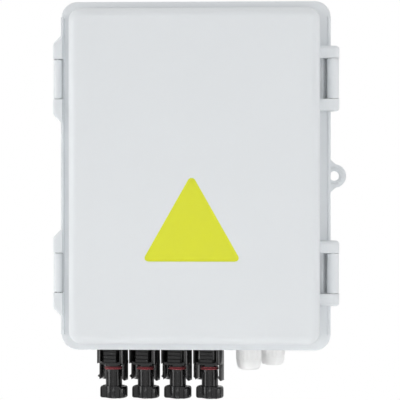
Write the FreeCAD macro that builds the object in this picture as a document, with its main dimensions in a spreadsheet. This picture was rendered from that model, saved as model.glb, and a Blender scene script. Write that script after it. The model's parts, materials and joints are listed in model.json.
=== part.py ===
import FreeCAD, Part
import math
import os
import Sketcher

# Solar combiner box: a wall box of grey plastic with a hinged lid, two snap latches,
# four string inputs below, two cable glands, and fuses, breaker and surge protector on a rail.
# The origin is at the middle of the back face, between the two wall ears.
# +Z is up, +X is the hinge side, and the lid faces -Y. Lengths are millimetres, angles degrees.

Vector = FreeCAD.Vector

SIZES = {
    # Case outline and walls
    "case_width": 170.0,
    "case_height": 220.0,
    "corner_radius": 10.0,
    "base_depth": 85.0,
    "wall": 3.0,
    "rim_overhang": 2.5,
    "rim_depth": 8.0,
    "back_edge_radius": 2.5,
    "rim_edge_radius": 1.0,
    # Lid
    "lid_gap": 0.3,
    "lid_depth": 24.7,
    "lid_rim_thickness": 4.0,
    "panel_inset_side": 7.0,
    "panel_inset_end": 5.7,
    "panel_corner_radius": 8.0,
    "panel_edge_radius": 5.5,
    "sign_middle": -1.2,
    "sign_top": 1.5,
    "sign_width": 62.0,
    "sign_height": 54.8,
    "sign_corner_radius": 2.6,
    "sign_recess": 0.4,
    "bead_width": 2.0,
    "bead_height": 1.9,
    "bead_edge_radius": 1.2,
    # Gasket
    "gasket_offset": 4.6,
    "gasket_width": 1.6,
    "gasket_groove_depth": 1.8,
    "gasket_proud": 0.2,
    # Wall ears
    "ear_spacing": 180.5,
    "ear_radius": 8.1,
    "ear_thickness": 4.0,
    "ear_blend_radius": 3.4,
    "ear_boss_radius": 5.6,
    "ear_boss_height": 1.0,
    "ear_hole_radius": 3.25,
    # Hinges
    "hinge_spacing": 122.0,
    "hinge_axis_out": 1.4,
    "hinge_axis_front": 7.0,
    "hinge_length": 41.0,
    "barrel_length": 24.8,
    "barrel_radius": 3.75,
    "knuckle_radius": 4.0,
    "knuckle_gap": 0.4,
    "hinge_pin_radius": 1.5,
    "hinge_notch": 3.1,
    "hinge_scoop_radius": 6.5,
    "knuckle_edge_radius": 2.2,
    "bracket_drop": 7.0,
    # Fits
    "running_clearance": 0.05,
    "press_clearance": 0.02,
    "seat_clearance": 0.3,
    # Latches
    "latch_spacing": 122.0,
    "latch_length": 54.4,
    "latch_proud": 4.8,
    "latch_housing_depth": 7.8,
    "latch_corner_radius": 4.0,
    "latch_edge_radius": 1.2,
    "latch_cheek": 14.5,
    "lever_pivot_out": 1.9,
    "lever_pivot_front": 4.2,
    "lever_nose_radius": 3.0,
    "lever_thickness": 2.4,
    "lever_reach": 27.0,
    "lever_tip_flare": 1.8,
    "lever_ridge": 0.5,
    "lever_ridge_width": 1.0,
    "lever_ridge_pitch": 2.2,
    "lever_edge_radius": 0.8,
    "hook_length": 2.6,
    "latch_pin_radius": 1.0,
    # Rail
    "rail_centre_height": 18.0,
    "rail_end_gap": 4.5,
    "rail_standoff": 1.0,
    "rail_height": 35.0,
    "rail_depth": 7.5,
    "rail_channel": 27.0,
    "rail_thickness": 1.0,
    "rail_slot_length": 15.0,
    "rail_slot_width": 6.2,
    "rail_slot_pitch": 25.0,
    "rail_post_radius": 5.0,
    "rail_screw_spacing": 100.0,
    "rail_screw_radius": 1.8,
    "rail_screw_head_radius": 3.6,
    "rail_screw_head_height": 2.4,
    "rail_screw_length": 2.6,
    # Modules on the rail
    "module_pitch": 17.5,
    "module_gap": 0.5,
    "module_height": 79.0,
    "shoulder_depth": 44.0,
    "module_depth": 57.0,
    "module_foot_depth": 5.0,
    "module_edge": 0.6,
    "hook_overlap": 0.7,
    "terminal_width": 8.5,
    "terminal_height": 9.0,
    "terminal_depth": 12.0,
    "terminal_from_shoulder": 16.0,
    "screw_well_radius": 3.2,
    "terminal_screw_radius": 2.9,
    "terminal_screw_length": 11.0,
    # Fuse holders and their carriers
    "fuse_nose_height": 52.6,
    "carrier_width": 13.4,
    "carrier_reach": 42.9,
    "carrier_pivot_drop": 18.5,
    "carrier_pivot_depth": 5.0,
    "carrier_proud": 1.0,
    "carrier_depth": 9.0,
    "carrier_front": 3.4,
    "carrier_cheek": 1.4,
    "trunnion_radius": 1.6,
    "trunnion_length": 1.1,
    "fuse_radius": 5.15,
    "fuse_length": 38.0,
    "fuse_ferrule": 8.0,
    "fuse_setback": 6.0,
    # Breaker and surge protector
    "breaker_nose_height": 45.0,
    "toggle_radius": 8.0,
    "toggle_pivot_depth": 5.5,
    "toggle_width": 25.0,
    "toggle_arm_length": 15.0,
    "toggle_arm_thickness": 4.0,
    "toggle_rest_angle": 36.0,
    "arrester_nose_height": 48.0,
    "arrester_module_gap": 0.8,
    # Comb busbar
    "busbar_thickness": 1.5,
    "busbar_height": 9.0,
    "busbar_pin_width": 3.0,
    "busbar_pin_length": 9.0,
    "busbar_rise": 4.0,
    # Negative bar
    "bar_length": 86.0,
    "bar_section": 8.0,
    "bar_standoff": 9.0,
    "bar_height_from_bottom": 52.0,
    "bar_centre_out": -24.0,
    "bar_stand_width": 8.0,
    "bar_screw_radius": 2.2,
    "bar_screw_length": 4.0,
    "bar_screw_pitch": 12.0,
    # String connectors
    "connector_pitch": 21.0,
    "connector_first": -55.9,
    "front_row_depth": 55.0,
    "back_row_depth": 28.0,
    "back_row_shift": -4.1,
    "stub_radius": 6.0,
    "stub_length": 11.5,
    "collar_radius": 9.2,
    "collar_height": 2.6,
    "nut_width": 16.5,
    "nut_height": 4.0,
    "connector_turn": -20.0,
    "body_radius": 5.4,
    "body_length": 14.1,
    "rib_block_width": 9.0,
    "rib_block_front": 6.4,
    "body_rib": 0.6,
    "body_rib_pitch": 2.4,
    "yoke_half_width": 7.5,
    "yoke_thickness": 1.7,
    "plug_radius": 5.35,
    "plug_end": 32.6,
    "seal_seat_radius": 4.9,
    "seal_ring_radius": 6.3,
    "seal_ring_width": 2.1,
    "seal_ring_start": 17.0,
    "finger_outer": 8.9,
    "finger_thickness": 1.3,
    "finger_width": 3.6,
    "finger_length": 26.2,
    "finger_barb": 1.0,
    "guard_outer": 9.3,
    "guard_thickness": 2.3,
    "guard_back": 0.8,
    "guard_length": 15.4,
    "cap_radius": 9.05,
    "cap_start": 30.0,
    "cap_length": 7.7,
    "cap_flat": 6.7,
    "cap_edge": 1.3,
    "cap_boss": 0.7,
    "shell_radius": 8.4,
    "shell_inner_radius": 7.0,
    "shell_start": 11.0,
    "shell_floor": 13.0,
    "shell_length": 24.5,
    "shell_window": 5.0,
    "shell_window_start": 14.0,
    "pin_cap_plug": 6.0,
    "pin_cap_head": 4.4,
    # Cable glands
    "gland_front_out": 32.6,
    "gland_front_depth": 52.0,
    "gland_back_out": 48.0,
    "gland_back_depth": 28.0,
    "gland_thread_radius": 6.0,
    "gland_hex_width": 16.6,
    "gland_hex_height": 4.8,
    "gland_nut_radius": 8.3,
    "gland_nut_seam": 13.2,
    "gland_shoulder_radius": 7.5,
    "gland_dome_radius": 6.8,
    "gland_dome_end": 19.2,
    "gland_mouth_radius": 5.8,
    "gland_seal_radius": 4.4,
    "gland_bore_radius": 3.0,
    "gland_seal_length": 9.0,
    "locknut_width": 17.0,
    "locknut_height": 3.6,
    # Leads inside
    "lead_radius": 2.0,
    "lead_bend_radius": 11.0,
    "lead_insert": 6.0,
    "lead_run": 16.0,
}

doc = FreeCAD.newDocument("solar_combiner_box")
sheet = doc.addObject("Spreadsheet::Sheet", "sizes")
for row, (alias, value) in enumerate(SIZES.items(), start=1):
    sheet.set("A%d" % row, alias)
    sheet.set("B%d" % row, str(value))
    sheet.setAlias("B%d" % row, alias)
doc.recompute()

# Places that several pieces share, as expressions on the sheet
WALL_X = "(sizes.case_width / 2 - sizes.rim_overhang)"
WALL_Z = "(sizes.case_height / 2 - sizes.rim_overhang)"
INNER_X = "(%s - sizes.wall)" % WALL_X
INNER_Z = "(%s - sizes.wall)" % WALL_Z
LID_BACK = "(sizes.base_depth + sizes.lid_gap)"
LID_RIM_FRONT = "(%s + sizes.lid_rim_thickness)" % LID_BACK
LID_FRONT = "(%s + sizes.lid_depth)" % LID_BACK
PANEL_X = "(sizes.case_width / 2 - sizes.panel_inset_side)"
PANEL_Z = "(sizes.case_height / 2 - sizes.panel_inset_end)"
HINGE_X = "(sizes.case_width / 2 + sizes.hinge_axis_out)"
HINGE_Y = "(-sizes.base_depth - sizes.hinge_axis_front)"
LATCH_X = "(-sizes.case_width / 2 - sizes.lever_pivot_out)"
LATCH_Y = "(-%s - sizes.lever_pivot_front)" % LID_BACK
RAIL_BACK = "(sizes.wall + sizes.rail_standoff)"
RAIL_FRONT = "(%s + sizes.rail_depth)" % RAIL_BACK
SHOULDER = "(%s + sizes.shoulder_depth)" % RAIL_FRONT
NOSE = "(%s + sizes.module_depth)" % RAIL_FRONT
CARRIER_Y = "(-%s + sizes.carrier_pivot_depth)" % NOSE
CARRIER_Z = "(sizes.rail_centre_height - sizes.carrier_pivot_drop)"
TOGGLE_Y = "(-%s + sizes.toggle_pivot_depth)" % NOSE
TERMINAL_Y = "(-%s + sizes.terminal_from_shoulder)" % SHOULDER
CLAMP_Y = "(%s - sizes.lead_radius)" % TERMINAL_Y
MODULE_TOP = "(sizes.rail_centre_height + sizes.module_height / 2)"
MODULE_BOTTOM = "(sizes.rail_centre_height - sizes.module_height / 2)"
BAR_Z = "(-%s + sizes.bar_height_from_bottom)" % INNER_Z
BAR_FRONT = "(sizes.wall + sizes.bar_standoff + sizes.bar_section)"
BAR_Y = "(-sizes.wall - sizes.bar_standoff - sizes.bar_section / 2)"
BAR_BOTTOM = "(%s - sizes.bar_section / 2)" % BAR_Z
FUSE_X = ["(sizes.module_pitch * %s)" % steps for steps in (-3.5, -2.5, -1.5, -0.5)]
BREAKER_X = "(sizes.module_pitch * 1)"
ARRESTER_X = "(sizes.module_pitch * 3)"
CONNECTOR_X = ["(sizes.connector_first + sizes.connector_pitch * %d)" % step for step in range(4)]
BACK_ROW_X = ["(%s + sizes.back_row_shift)" % x for x in CONNECTOR_X]
INPUTS = [(x, "sizes.front_row_depth") for x in CONNECTOR_X]
INPUTS += [(x, "sizes.back_row_depth") for x in BACK_ROW_X]
LEVER_LENGTH = "(sizes.latch_length - 2 * sizes.latch_cheek - 2 * sizes.seat_clearance)"
GLANDS = [
    ("sizes.gland_front_out", "sizes.gland_front_depth"),
    ("sizes.gland_back_out", "sizes.gland_back_depth"),
]

finished = []


def number(expression):
    """The present value of an expression on the sheet."""
    return float(sheet.evalExpression(str(expression)))


def finish(piece, name):
    """Name a finished sub-part; the name is also its file's name."""
    piece.Label = name
    finished.append(piece)
    return piece


def place(piece, x="0", y="0", z="0"):
    """Set an object down at a place given by expressions."""
    for axis, expression in (("x", x), ("y", y), ("z", z)):
        piece.setExpression("Placement.Base." + axis, str(expression))
    return piece


def new_body(name, x="0", y="0", z="0"):
    """A body whose own origin stands at the given place."""
    return place(finish(doc.addObject("PartDesign::Body", name), name), x, y, z)


def new_sketch(body, name, plane, offset="0"):
    """A sketch on one of the body's planes, moved along its normal.

    XZ_Plane draws (X, Z) and faces -Y, YZ_Plane draws (Y, Z) and faces +X,
    and XY_Plane draws (X, Y) and faces +Z.
    """
    sketch = body.newObject("Sketcher::SketchObject", name)
    datum = [item for item in body.Origin.OriginFeatures if item.Role == plane][0]
    sketch.AttachmentSupport = [(datum, "")]
    sketch.MapMode = "FlatFace"
    sketch.setExpression("AttachmentOffset.Base.z", str(offset))
    return sketch


def bind(sketch, kind, *where_and_value):
    """Add one dimension to a sketch and tie it to an expression."""
    *where, expression = where_and_value
    index = sketch.addConstraint(Sketcher.Constraint(kind, *where, number(expression)))
    sketch.setExpression("Constraints[%d]" % index, str(expression))


def bind_point(sketch, element, point, x, y):
    """Fix one point of a sketch by its two distances from the sketch's origin."""
    bind(sketch, "DistanceX", -1, 1, element, point, x)
    bind(sketch, "DistanceY", -1, 1, element, point, y)


def polygon(sketch, corners):
    """Draw a closed loop of straight lines through (x, y) expressions."""
    first = sketch.GeometryCount
    points = [Vector(number(x), number(y), 0) for x, y in corners]
    for start, end in zip(points, points[1:] + points[:1]):
        sketch.addGeometry(Part.LineSegment(start, end))
    for step in range(len(corners)):
        following = first + (step + 1) % len(corners)
        sketch.addConstraint(Sketcher.Constraint("Coincident", first + step, 2, following, 1))
    for step, (x, y) in enumerate(corners):
        bind_point(sketch, first + step, 1, x, y)
    return sketch


def rectangle(sketch, left, right, low, high):
    """Draw a rectangle between four expressions."""
    return polygon(sketch, [(left, low), (right, low), (right, high), (left, high)])


def circle(sketch, radius, x="0", y="0"):
    """Draw a circle."""
    round_line = Part.Circle(Vector(number(x), number(y), 0), Vector(0, 0, 1), number(radius))
    element = sketch.addGeometry(round_line)
    bind(sketch, "Radius", element, radius)
    bind_point(sketch, element, 3, x, y)
    return sketch


def rounded_rectangle(sketch, half_x, half_y, radius):
    """Draw a rectangle about the sketch's origin with four round corners."""
    first = sketch.GeometryCount
    across, up, bend = number(half_x), number(half_y), number(radius)
    corners = [(1, -1), (1, 1), (-1, 1), (-1, -1)]
    for step, (side, level) in enumerate(corners):
        last_side, last_level = corners[step - 1]
        if step % 2 == 0:
            start = Vector(last_side * (across - bend), level * up, 0)
            end = Vector(side * (across - bend), level * up, 0)
        else:
            start = Vector(side * across, last_level * (up - bend), 0)
            end = Vector(side * across, level * (up - bend), 0)
        sketch.addGeometry(Part.LineSegment(start, end))
        centre = Vector(side * (across - bend), level * (up - bend), 0)
        quarter = Part.Circle(centre, Vector(0, 0, 1), bend)
        turn = math.pi / 2
        sketch.addGeometry(Part.ArcOfCircle(quarter, (step - 1) * turn, step * turn))
    for step in range(0, 8, 2):
        line, arc, following = first + step, first + step + 1, first + (step + 2) % 8
        sketch.addConstraint(Sketcher.Constraint("Tangent", line, 2, arc, 1))
        sketch.addConstraint(Sketcher.Constraint("Tangent", arc, 2, following, 1))
        direction = "Horizontal" if step % 4 == 0 else "Vertical"
        sketch.addConstraint(Sketcher.Constraint(direction, line))
    for step in (1, 3, 5):
        sketch.addConstraint(Sketcher.Constraint("Equal", first + step, first + step + 2))
    sketch.addConstraint(Sketcher.Constraint("Symmetric", first, 1, first + 4, 1, -1, 1))
    bind(sketch, "DistanceX", -1, 1, first + 2, 1, half_x)
    bind(sketch, "DistanceY", -1, 1, first + 4, 1, half_y)
    bind(sketch, "Radius", first + 1, radius)
    return sketch


def pad(body, sketch, length, both=False, backward=False):
    """Raise a sketch into solid; with both, half of the length goes each way."""
    feature = body.newObject("PartDesign::Pad", sketch.Name + "_pad")
    feature.Profile = sketch
    feature.SideType = "Symmetric" if both else "One side"
    feature.Reversed = backward
    feature.setExpression("Length", str(length))
    return feature


def pocket(body, sketch, depth, both=False, forward=False):
    """Cut a sketch out of the body; forward cuts along the sketch's normal."""
    doc.recompute()
    before = body.Shape.Volume
    feature = body.newObject("PartDesign::Pocket", sketch.Name + "_pocket")
    feature.Profile = sketch
    feature.SideType = "Symmetric" if both else "One side"
    feature.Reversed = forward
    feature.setExpression("Length", str(depth))
    doc.recompute()
    if not body.Shape.Volume < before:
        raise RuntimeError("the cut %s removes nothing" % sketch.Name)
    return feature


def revolve(body, sketch):
    """Turn a sketch round its own upright axis."""
    feature = body.newObject("PartDesign::Revolution", sketch.Name + "_turned")
    feature.Profile = sketch
    feature.ReferenceAxis = (sketch, ["V_Axis"])
    feature.Angle = 360
    return feature


def round_edges(body, name, radius, wanted):
    """Round the edges of the body's last feature that the test accepts."""
    doc.recompute()
    base = body.Tip
    names = [
        "Edge%d" % count
        for count, edge in enumerate(base.Shape.Edges, start=1)
        if wanted(edge)
    ]
    if not names:
        raise RuntimeError("no edge found for " + name)
    feature = body.newObject("PartDesign::Fillet", name)
    feature.Base = (base, names)
    feature.setExpression("Radius", str(radius))
    doc.recompute()
    return feature


def lies_at(edge, axis, value, tolerance=0.01):
    """Whether a whole edge lies in the plane where one coordinate has a value."""
    low = getattr(edge.BoundBox, axis + "Min")
    high = getattr(edge.BoundBox, axis + "Max")
    return abs(low - value) < tolerance and abs(high - value) < tolerance


def runs_along(edge, axis):
    """Whether an edge is straight and parallel to an axis."""
    spans = {name: getattr(edge.BoundBox, name + "Length") for name in "XYZ"}
    return all(span < 0.01 for name, span in spans.items() if name != axis) and spans[axis] > 0.01


def cylinder(name, radius, length, x="0", y="0", z="0", along="Z"):
    """A plain cylinder whose base centre stands at the given place."""
    item = doc.addObject("Part::Cylinder", name)
    item.setExpression("Radius", str(radius))
    item.setExpression("Height", str(length))
    turns = {"Z": (0, 0, 0), "X": (0, 90, 0), "Y": (0, 0, 90)}
    yaw, pitch, roll = turns[along]
    item.Placement = FreeCAD.Placement(Vector(), FreeCAD.Rotation(yaw, pitch, roll))
    return place(item, x, y, z)


def box(name, length, width, height, x="0", y="0", z="0"):
    """A plain block whose low corner stands at the given place."""
    item = doc.addObject("Part::Box", name)
    item.setExpression("Length", str(length))
    item.setExpression("Width", str(width))
    item.setExpression("Height", str(height))
    return place(item, x, y, z)


def hexagon(name, across_flats, height, x="0", y="0", z="0"):
    """A six-sided prism that stands on its end."""
    item = doc.addObject("Part::Prism", name)
    item.Polygon = 6
    item.setExpression("Circumradius", "%s / 2 / cos(30)" % across_flats)
    item.setExpression("Height", str(height))
    return place(item, x, y, z)


def cut(name, base, tool):
    """One solid less another."""
    item = doc.addObject("Part::Cut", name)
    item.Base = base
    item.Tool = tool
    return item


def fuse(name, items):
    """Several solids joined into one."""
    item = doc.addObject("Part::MultiFuse", name)
    item.Shapes = items
    item.Refine = True
    return item


def group(name, items):
    """Separate solids that share one sub-part."""
    item = doc.addObject("Part::Compound", name)
    item.Links = items
    return finish(item, name)


def base_shell():
    """The back half: a deep tray with a rim, two wall ears and two hinge brackets."""
    body = new_body("base_shell")
    wall_radius = "(sizes.corner_radius - sizes.rim_overhang)"
    tray = new_sketch(body, "tray_outline", "XZ_Plane")
    pad(body, rounded_rectangle(tray, WALL_X, WALL_Z, wall_radius), "sizes.base_depth")
    round_edges(body, "back_edges", "sizes.back_edge_radius", lambda edge: lies_at(edge, "Y", 0))
    for side in (1, -1):
        ear = new_sketch(body, "ear_%s" % ("right" if side > 0 else "left"), "XZ_Plane")
        ear_outline(ear, side)
        pad(body, ear, "sizes.ear_thickness")
    boss = new_sketch(body, "ear_bosses", "XZ_Plane", "sizes.ear_thickness")
    holes = new_sketch(body, "ear_holes", "XZ_Plane", "sizes.ear_thickness + sizes.ear_boss_height")
    for side in (1, -1):
        circle(boss, "sizes.ear_boss_radius", "%d * sizes.ear_spacing / 2" % side)
        circle(holes, "sizes.ear_hole_radius", "%d * sizes.ear_spacing / 2" % side)
    pad(body, boss, "sizes.ear_boss_height")
    pocket(body, holes, "sizes.ear_thickness + sizes.ear_boss_height")
    rim = new_sketch(body, "rim_outline", "XZ_Plane", "sizes.base_depth - sizes.rim_depth")
    rounded_rectangle(rim, "sizes.case_width / 2", "sizes.case_height / 2", "sizes.corner_radius")
    pad(body, rim, "sizes.rim_depth")
    rim_back = -number("sizes.base_depth - sizes.rim_depth")
    outer = number(WALL_X) + 0.1
    outer_end = number(WALL_Z) + 0.1
    round_edges(
        body, "rim_back_edges", "sizes.rim_edge_radius",
        lambda edge: lies_at(edge, "Y", rim_back)
        and (abs(edge.CenterOfMass.x) > outer or abs(edge.CenterOfMass.z) > outer_end),
    )
    hollow = new_sketch(body, "hollow_outline", "XZ_Plane", "sizes.base_depth")
    rounded_rectangle(hollow, INNER_X, INNER_Z, "%s - sizes.wall" % wall_radius)
    pocket(body, hollow, "sizes.base_depth - sizes.wall")
    posts = new_sketch(body, "rail_posts", "XZ_Plane", "sizes.wall")
    for side in (1, -1):
        circle(posts, "sizes.rail_post_radius",
               "%d * sizes.rail_screw_spacing / 2" % side, "sizes.rail_centre_height")
    pad(body, posts, "sizes.rail_standoff")
    screw_holes = new_sketch(body, "rail_screw_holes", "XZ_Plane", RAIL_BACK)
    for side in (1, -1):
        circle(screw_holes, "sizes.rail_screw_radius + sizes.press_clearance",
               "%d * sizes.rail_screw_spacing / 2" % side, "sizes.rail_centre_height")
    pocket(body, screw_holes, "sizes.rail_screw_length")
    entries = new_sketch(body, "bottom_holes", "XY_Plane", "-" + INNER_Z)
    for x, depth in INPUTS:
        circle(entries, "sizes.stub_radius + sizes.running_clearance", x, "-" + depth)
    for x, depth in GLANDS:
        circle(entries, "sizes.gland_thread_radius + sizes.running_clearance", x, "-" + depth)
    pocket(body, entries, "sizes.wall")
    for side in (1, -1):
        hinge_bracket(body, side)


def ear_outline(sketch, side):
    """A tongue with a round end and hollow blends, from inside the wall out round its hole."""
    centre = "(%d * sizes.ear_spacing / 2)" % side
    root = "(%d * %s)" % (side, INNER_X)
    wall = "(%d * %s)" % (side, WALL_X)
    blend = "(%s + %d * sizes.ear_blend_radius)" % (wall, side)
    reach = "sizes.ear_radius"
    spread = "(sizes.ear_radius + sizes.ear_blend_radius)"
    corners = [
        (root, spread), (root, "-" + spread), (wall, "-" + spread), (blend, "-" + reach),
        (centre, "-" + reach), (centre, reach), (blend, reach), (wall, spread),
    ]
    arcs = {2: blend, 4: centre, 6: blend}
    middles = {
        2: (number(blend) - side * number("sizes.ear_blend_radius") * math.sqrt(0.5),
            -number(spread) + number("sizes.ear_blend_radius") * math.sqrt(0.5)),
        4: (number(centre) + side * number(reach), 0),
        6: (number(blend) - side * number("sizes.ear_blend_radius") * math.sqrt(0.5),
            number(spread) - number("sizes.ear_blend_radius") * math.sqrt(0.5)),
    }
    arc_outline(sketch, corners, arcs, middles)


def arc_outline(sketch, corners, arc_centres, arc_middles):
    """Draw a closed loop of lines in which some runs are arcs.

    The arcs are named by the corner that they start from. Each has the x expression of its
    centre, and a point on its way.
    """
    first = sketch.GeometryCount
    points = [Vector(number(x), number(y), 0) for x, y in corners]
    ends = []
    for step, start in enumerate(points):
        end = points[(step + 1) % len(points)]
        if step in arc_centres:
            way = Vector(arc_middles[step][0], arc_middles[step][1], 0)
            element = sketch.addGeometry(Part.Arc(start, way, end))
            starts_first = sketch.getPoint(element, 1).isEqual(start, 0.001)
            ends.append((1, 2) if starts_first else (2, 1))
        else:
            sketch.addGeometry(Part.LineSegment(start, end))
            ends.append((1, 2))
    for step in range(len(points)):
        following = (step + 1) % len(points)
        sketch.addConstraint(Sketcher.Constraint(
            "Coincident", first + step, ends[step][1], first + following, ends[following][0]))
    for step, (x, y) in enumerate(corners):
        bind_point(sketch, first + step, ends[step][0], x, y)
    for step, x in arc_centres.items():
        bind(sketch, "DistanceX", -1, 1, first + step, 3, x)


def hinge_bracket(body, side):
    """The middle barrel of a hinge, on a bracket that grows out of the base's rim."""
    name = "upper" if side > 0 else "lower"
    middle = "(%d * sizes.hinge_spacing / 2)" % side
    arm = new_sketch(body, "bracket_" + name, "XY_Plane", middle)
    inner = "(%s - sizes.barrel_radius + sizes.seat_clearance)" % HINGE_X
    outer = "(%s + sizes.barrel_radius)" % HINGE_X
    polygon(arm, [
        (inner, "-sizes.base_depth + sizes.wall / 2"),
        (inner, HINGE_Y),
        (outer, HINGE_Y),
        (outer, "-sizes.base_depth"),
        ("sizes.case_width / 2 - sizes.rim_edge_radius", "-sizes.base_depth + sizes.bracket_drop"),
    ])
    pad(body, arm, "sizes.barrel_length", both=True)
    barrel = new_sketch(body, "barrel_" + name, "XY_Plane", middle)
    circle(barrel, "sizes.barrel_radius", HINGE_X, HINGE_Y)
    pad(body, barrel, "sizes.barrel_length", both=True)
    bore = new_sketch(body, "barrel_bore_" + name, "XY_Plane", middle)
    circle(bore, "sizes.hinge_pin_radius + sizes.press_clearance", HINGE_X, HINGE_Y)
    pocket(body, bore, "sizes.barrel_length", both=True)


def hinge_pins():
    """Two steel pins, each through three knuckles."""
    pins = [
        cylinder("hinge_pin_%d" % count, "sizes.hinge_pin_radius", "sizes.hinge_length",
                 HINGE_X, HINGE_Y,
                 "%d * sizes.hinge_spacing / 2 - sizes.hinge_length / 2" % side)
        for count, side in enumerate((1, -1), start=1)
    ]
    group("hinge_pins", pins)


def lid_shell():
    """The front half: a shallow cover with a rim, side beads, knuckles and latch housings."""
    body = new_body("lid_shell")
    rim = new_sketch(body, "lid_rim", "XZ_Plane", LID_BACK)
    rounded_rectangle(rim, "sizes.case_width / 2", "sizes.case_height / 2", "sizes.corner_radius")
    pad(body, rim, "sizes.lid_rim_thickness")
    rim_front = -number(LID_RIM_FRONT)
    round_edges(body, "lid_rim_edges", "sizes.rim_edge_radius",
                lambda edge: lies_at(edge, "Y", rim_front))
    panel = new_sketch(body, "panel", "XZ_Plane", LID_BACK)
    rounded_rectangle(panel, PANEL_X, PANEL_Z, "sizes.panel_corner_radius")
    pad(body, panel, "sizes.lid_depth")
    front = -number(LID_FRONT)
    round_edges(body, "panel_edges", "sizes.panel_edge_radius",
                lambda edge: lies_at(edge, "Y", front))
    sign = new_sketch(body, "sign_recess", "XZ_Plane", LID_FRONT)
    foot = "(sizes.sign_top - sizes.sign_height)"
    polygon(sign, [
        ("sizes.sign_middle - sizes.sign_width / 2", foot),
        ("sizes.sign_middle + sizes.sign_width / 2", foot),
        ("sizes.sign_middle", "sizes.sign_top"),
    ])
    pocket(body, sign, "sizes.sign_recess")
    round_edges(body, "sign_corners", "sizes.sign_corner_radius",
                lambda edge: runs_along(edge, "Y") and edge.BoundBox.YMin < front + 0.001
                and edge.Length < 2 * SIZES["sign_recess"])
    beads = new_sketch(body, "side_beads", "XZ_Plane", "%s - sizes.rim_edge_radius" % LID_RIM_FRONT)
    for side in (1, -1):
        outer = "(%d * sizes.case_width / 2)" % side
        inner = "(%d * (sizes.case_width / 2 - sizes.bead_width))" % side
        end = "(sizes.case_height / 2 - sizes.corner_radius)"
        rectangle(beads, inner, outer, "-" + end, end)
    pad(body, beads, "sizes.bead_height + sizes.rim_edge_radius")
    bead_front = -number(LID_RIM_FRONT) - SIZES["bead_height"]
    bead_inner = number("sizes.case_width / 2 - sizes.bead_width")
    round_edges(body, "bead_edges", "sizes.bead_edge_radius",
                lambda edge: lies_at(edge, "Y", bead_front)
                and (lies_at(edge, "X", bead_inner) or lies_at(edge, "X", -bead_inner)))
    for side in (1, -1):
        hinge_knuckles(body, side)
        latch_housing(body, side)
    hollow = new_sketch(body, "lid_hollow", "XZ_Plane", LID_BACK)
    rounded_rectangle(hollow, "%s - sizes.wall" % PANEL_X, "%s - sizes.wall" % PANEL_Z,
                      "sizes.panel_corner_radius - sizes.wall")
    pocket(body, hollow, "sizes.lid_depth - sizes.wall", forward=True)
    groove = new_sketch(body, "gasket_groove", "XZ_Plane", LID_BACK)
    gasket_ring(groove)
    pocket(body, groove, "sizes.gasket_groove_depth", forward=True)


def gasket_ring(sketch):
    """Two nested outlines, which leave the ring that the gasket lies in."""
    for inset in ("sizes.gasket_offset", "sizes.gasket_offset - sizes.gasket_width"):
        inset = "(%s + sizes.gasket_width / 2)" % inset
        rounded_rectangle(sketch, "sizes.case_width / 2 - " + inset,
                          "sizes.case_height / 2 - " + inset, "sizes.corner_radius - " + inset)


def lid_gasket():
    """The foam cord in the lid's groove, just proud of the lid's rim."""
    body = new_body("lid_gasket")
    ring = new_sketch(body, "gasket_outline", "XZ_Plane", "%s - sizes.gasket_proud" % LID_BACK)
    gasket_ring(ring)
    pad(body, ring, "sizes.gasket_groove_depth + sizes.gasket_proud")


def hinge_knuckles(body, side):
    """The two outer knuckles of a hinge, and the room for the base's barrel between them."""
    name = "upper" if side > 0 else "lower"
    middle = "(%d * sizes.hinge_spacing / 2)" % side
    span = "(sizes.barrel_length / 2 + sizes.knuckle_gap)"
    notch = new_sketch(body, "notch_" + name, "XZ_Plane", LID_BACK)
    rectangle(notch, "sizes.case_width / 2 - sizes.hinge_notch", "sizes.case_width / 2 + 1",
              "%s - %s" % (middle, span), "%s + %s" % (middle, span))
    pocket(body, notch, "sizes.lid_rim_thickness + sizes.bead_height + 1", forward=True)
    scoop = new_sketch(body, "scoop_" + name, "XY_Plane", middle)
    circle(scoop, "sizes.hinge_scoop_radius", HINGE_X, HINGE_Y)
    pocket(body, scoop, "2 * " + span, both=True)
    length = "(sizes.hinge_length / 2 - %s)" % span
    for end in (1, -1):
        level = "(%s + %d * (%s + %s / 2))" % (middle, end, span, length)
        tag = "%s_%s" % (name, "top" if end > 0 else "bottom")
        arm = new_sketch(body, "knuckle_arm_" + tag, "XY_Plane", level)
        front = "(%s - sizes.knuckle_radius)" % HINGE_Y
        rectangle(arm, "%s - sizes.wall / 2" % PANEL_X, HINGE_X, front, "-%s" % LID_BACK)
        pad(body, arm, length, both=True)
        knuckle = new_sketch(body, "knuckle_" + tag, "XY_Plane", level)
        circle(knuckle, "sizes.knuckle_radius", HINGE_X, HINGE_Y)
        pad(body, knuckle, length, both=True)
        outer_end = number("%s + %d * sizes.hinge_length / 2" % (middle, end))
        inner_edge, barrel_front = number(PANEL_X), number(HINGE_Y)
        round_edges(
            body, "knuckle_edge_" + tag, "sizes.knuckle_edge_radius",
            lambda edge: lies_at(edge, "Z", outer_end)
            and edge.BoundBox.XMax > inner_edge + 1 and edge.BoundBox.YMin < barrel_front - 1,
        )
    bore = new_sketch(body, "knuckle_bore_" + name, "XY_Plane", middle)
    circle(bore, "sizes.hinge_pin_radius + sizes.running_clearance", HINGE_X, HINGE_Y)
    pocket(body, bore, "sizes.hinge_length", both=True)


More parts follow.
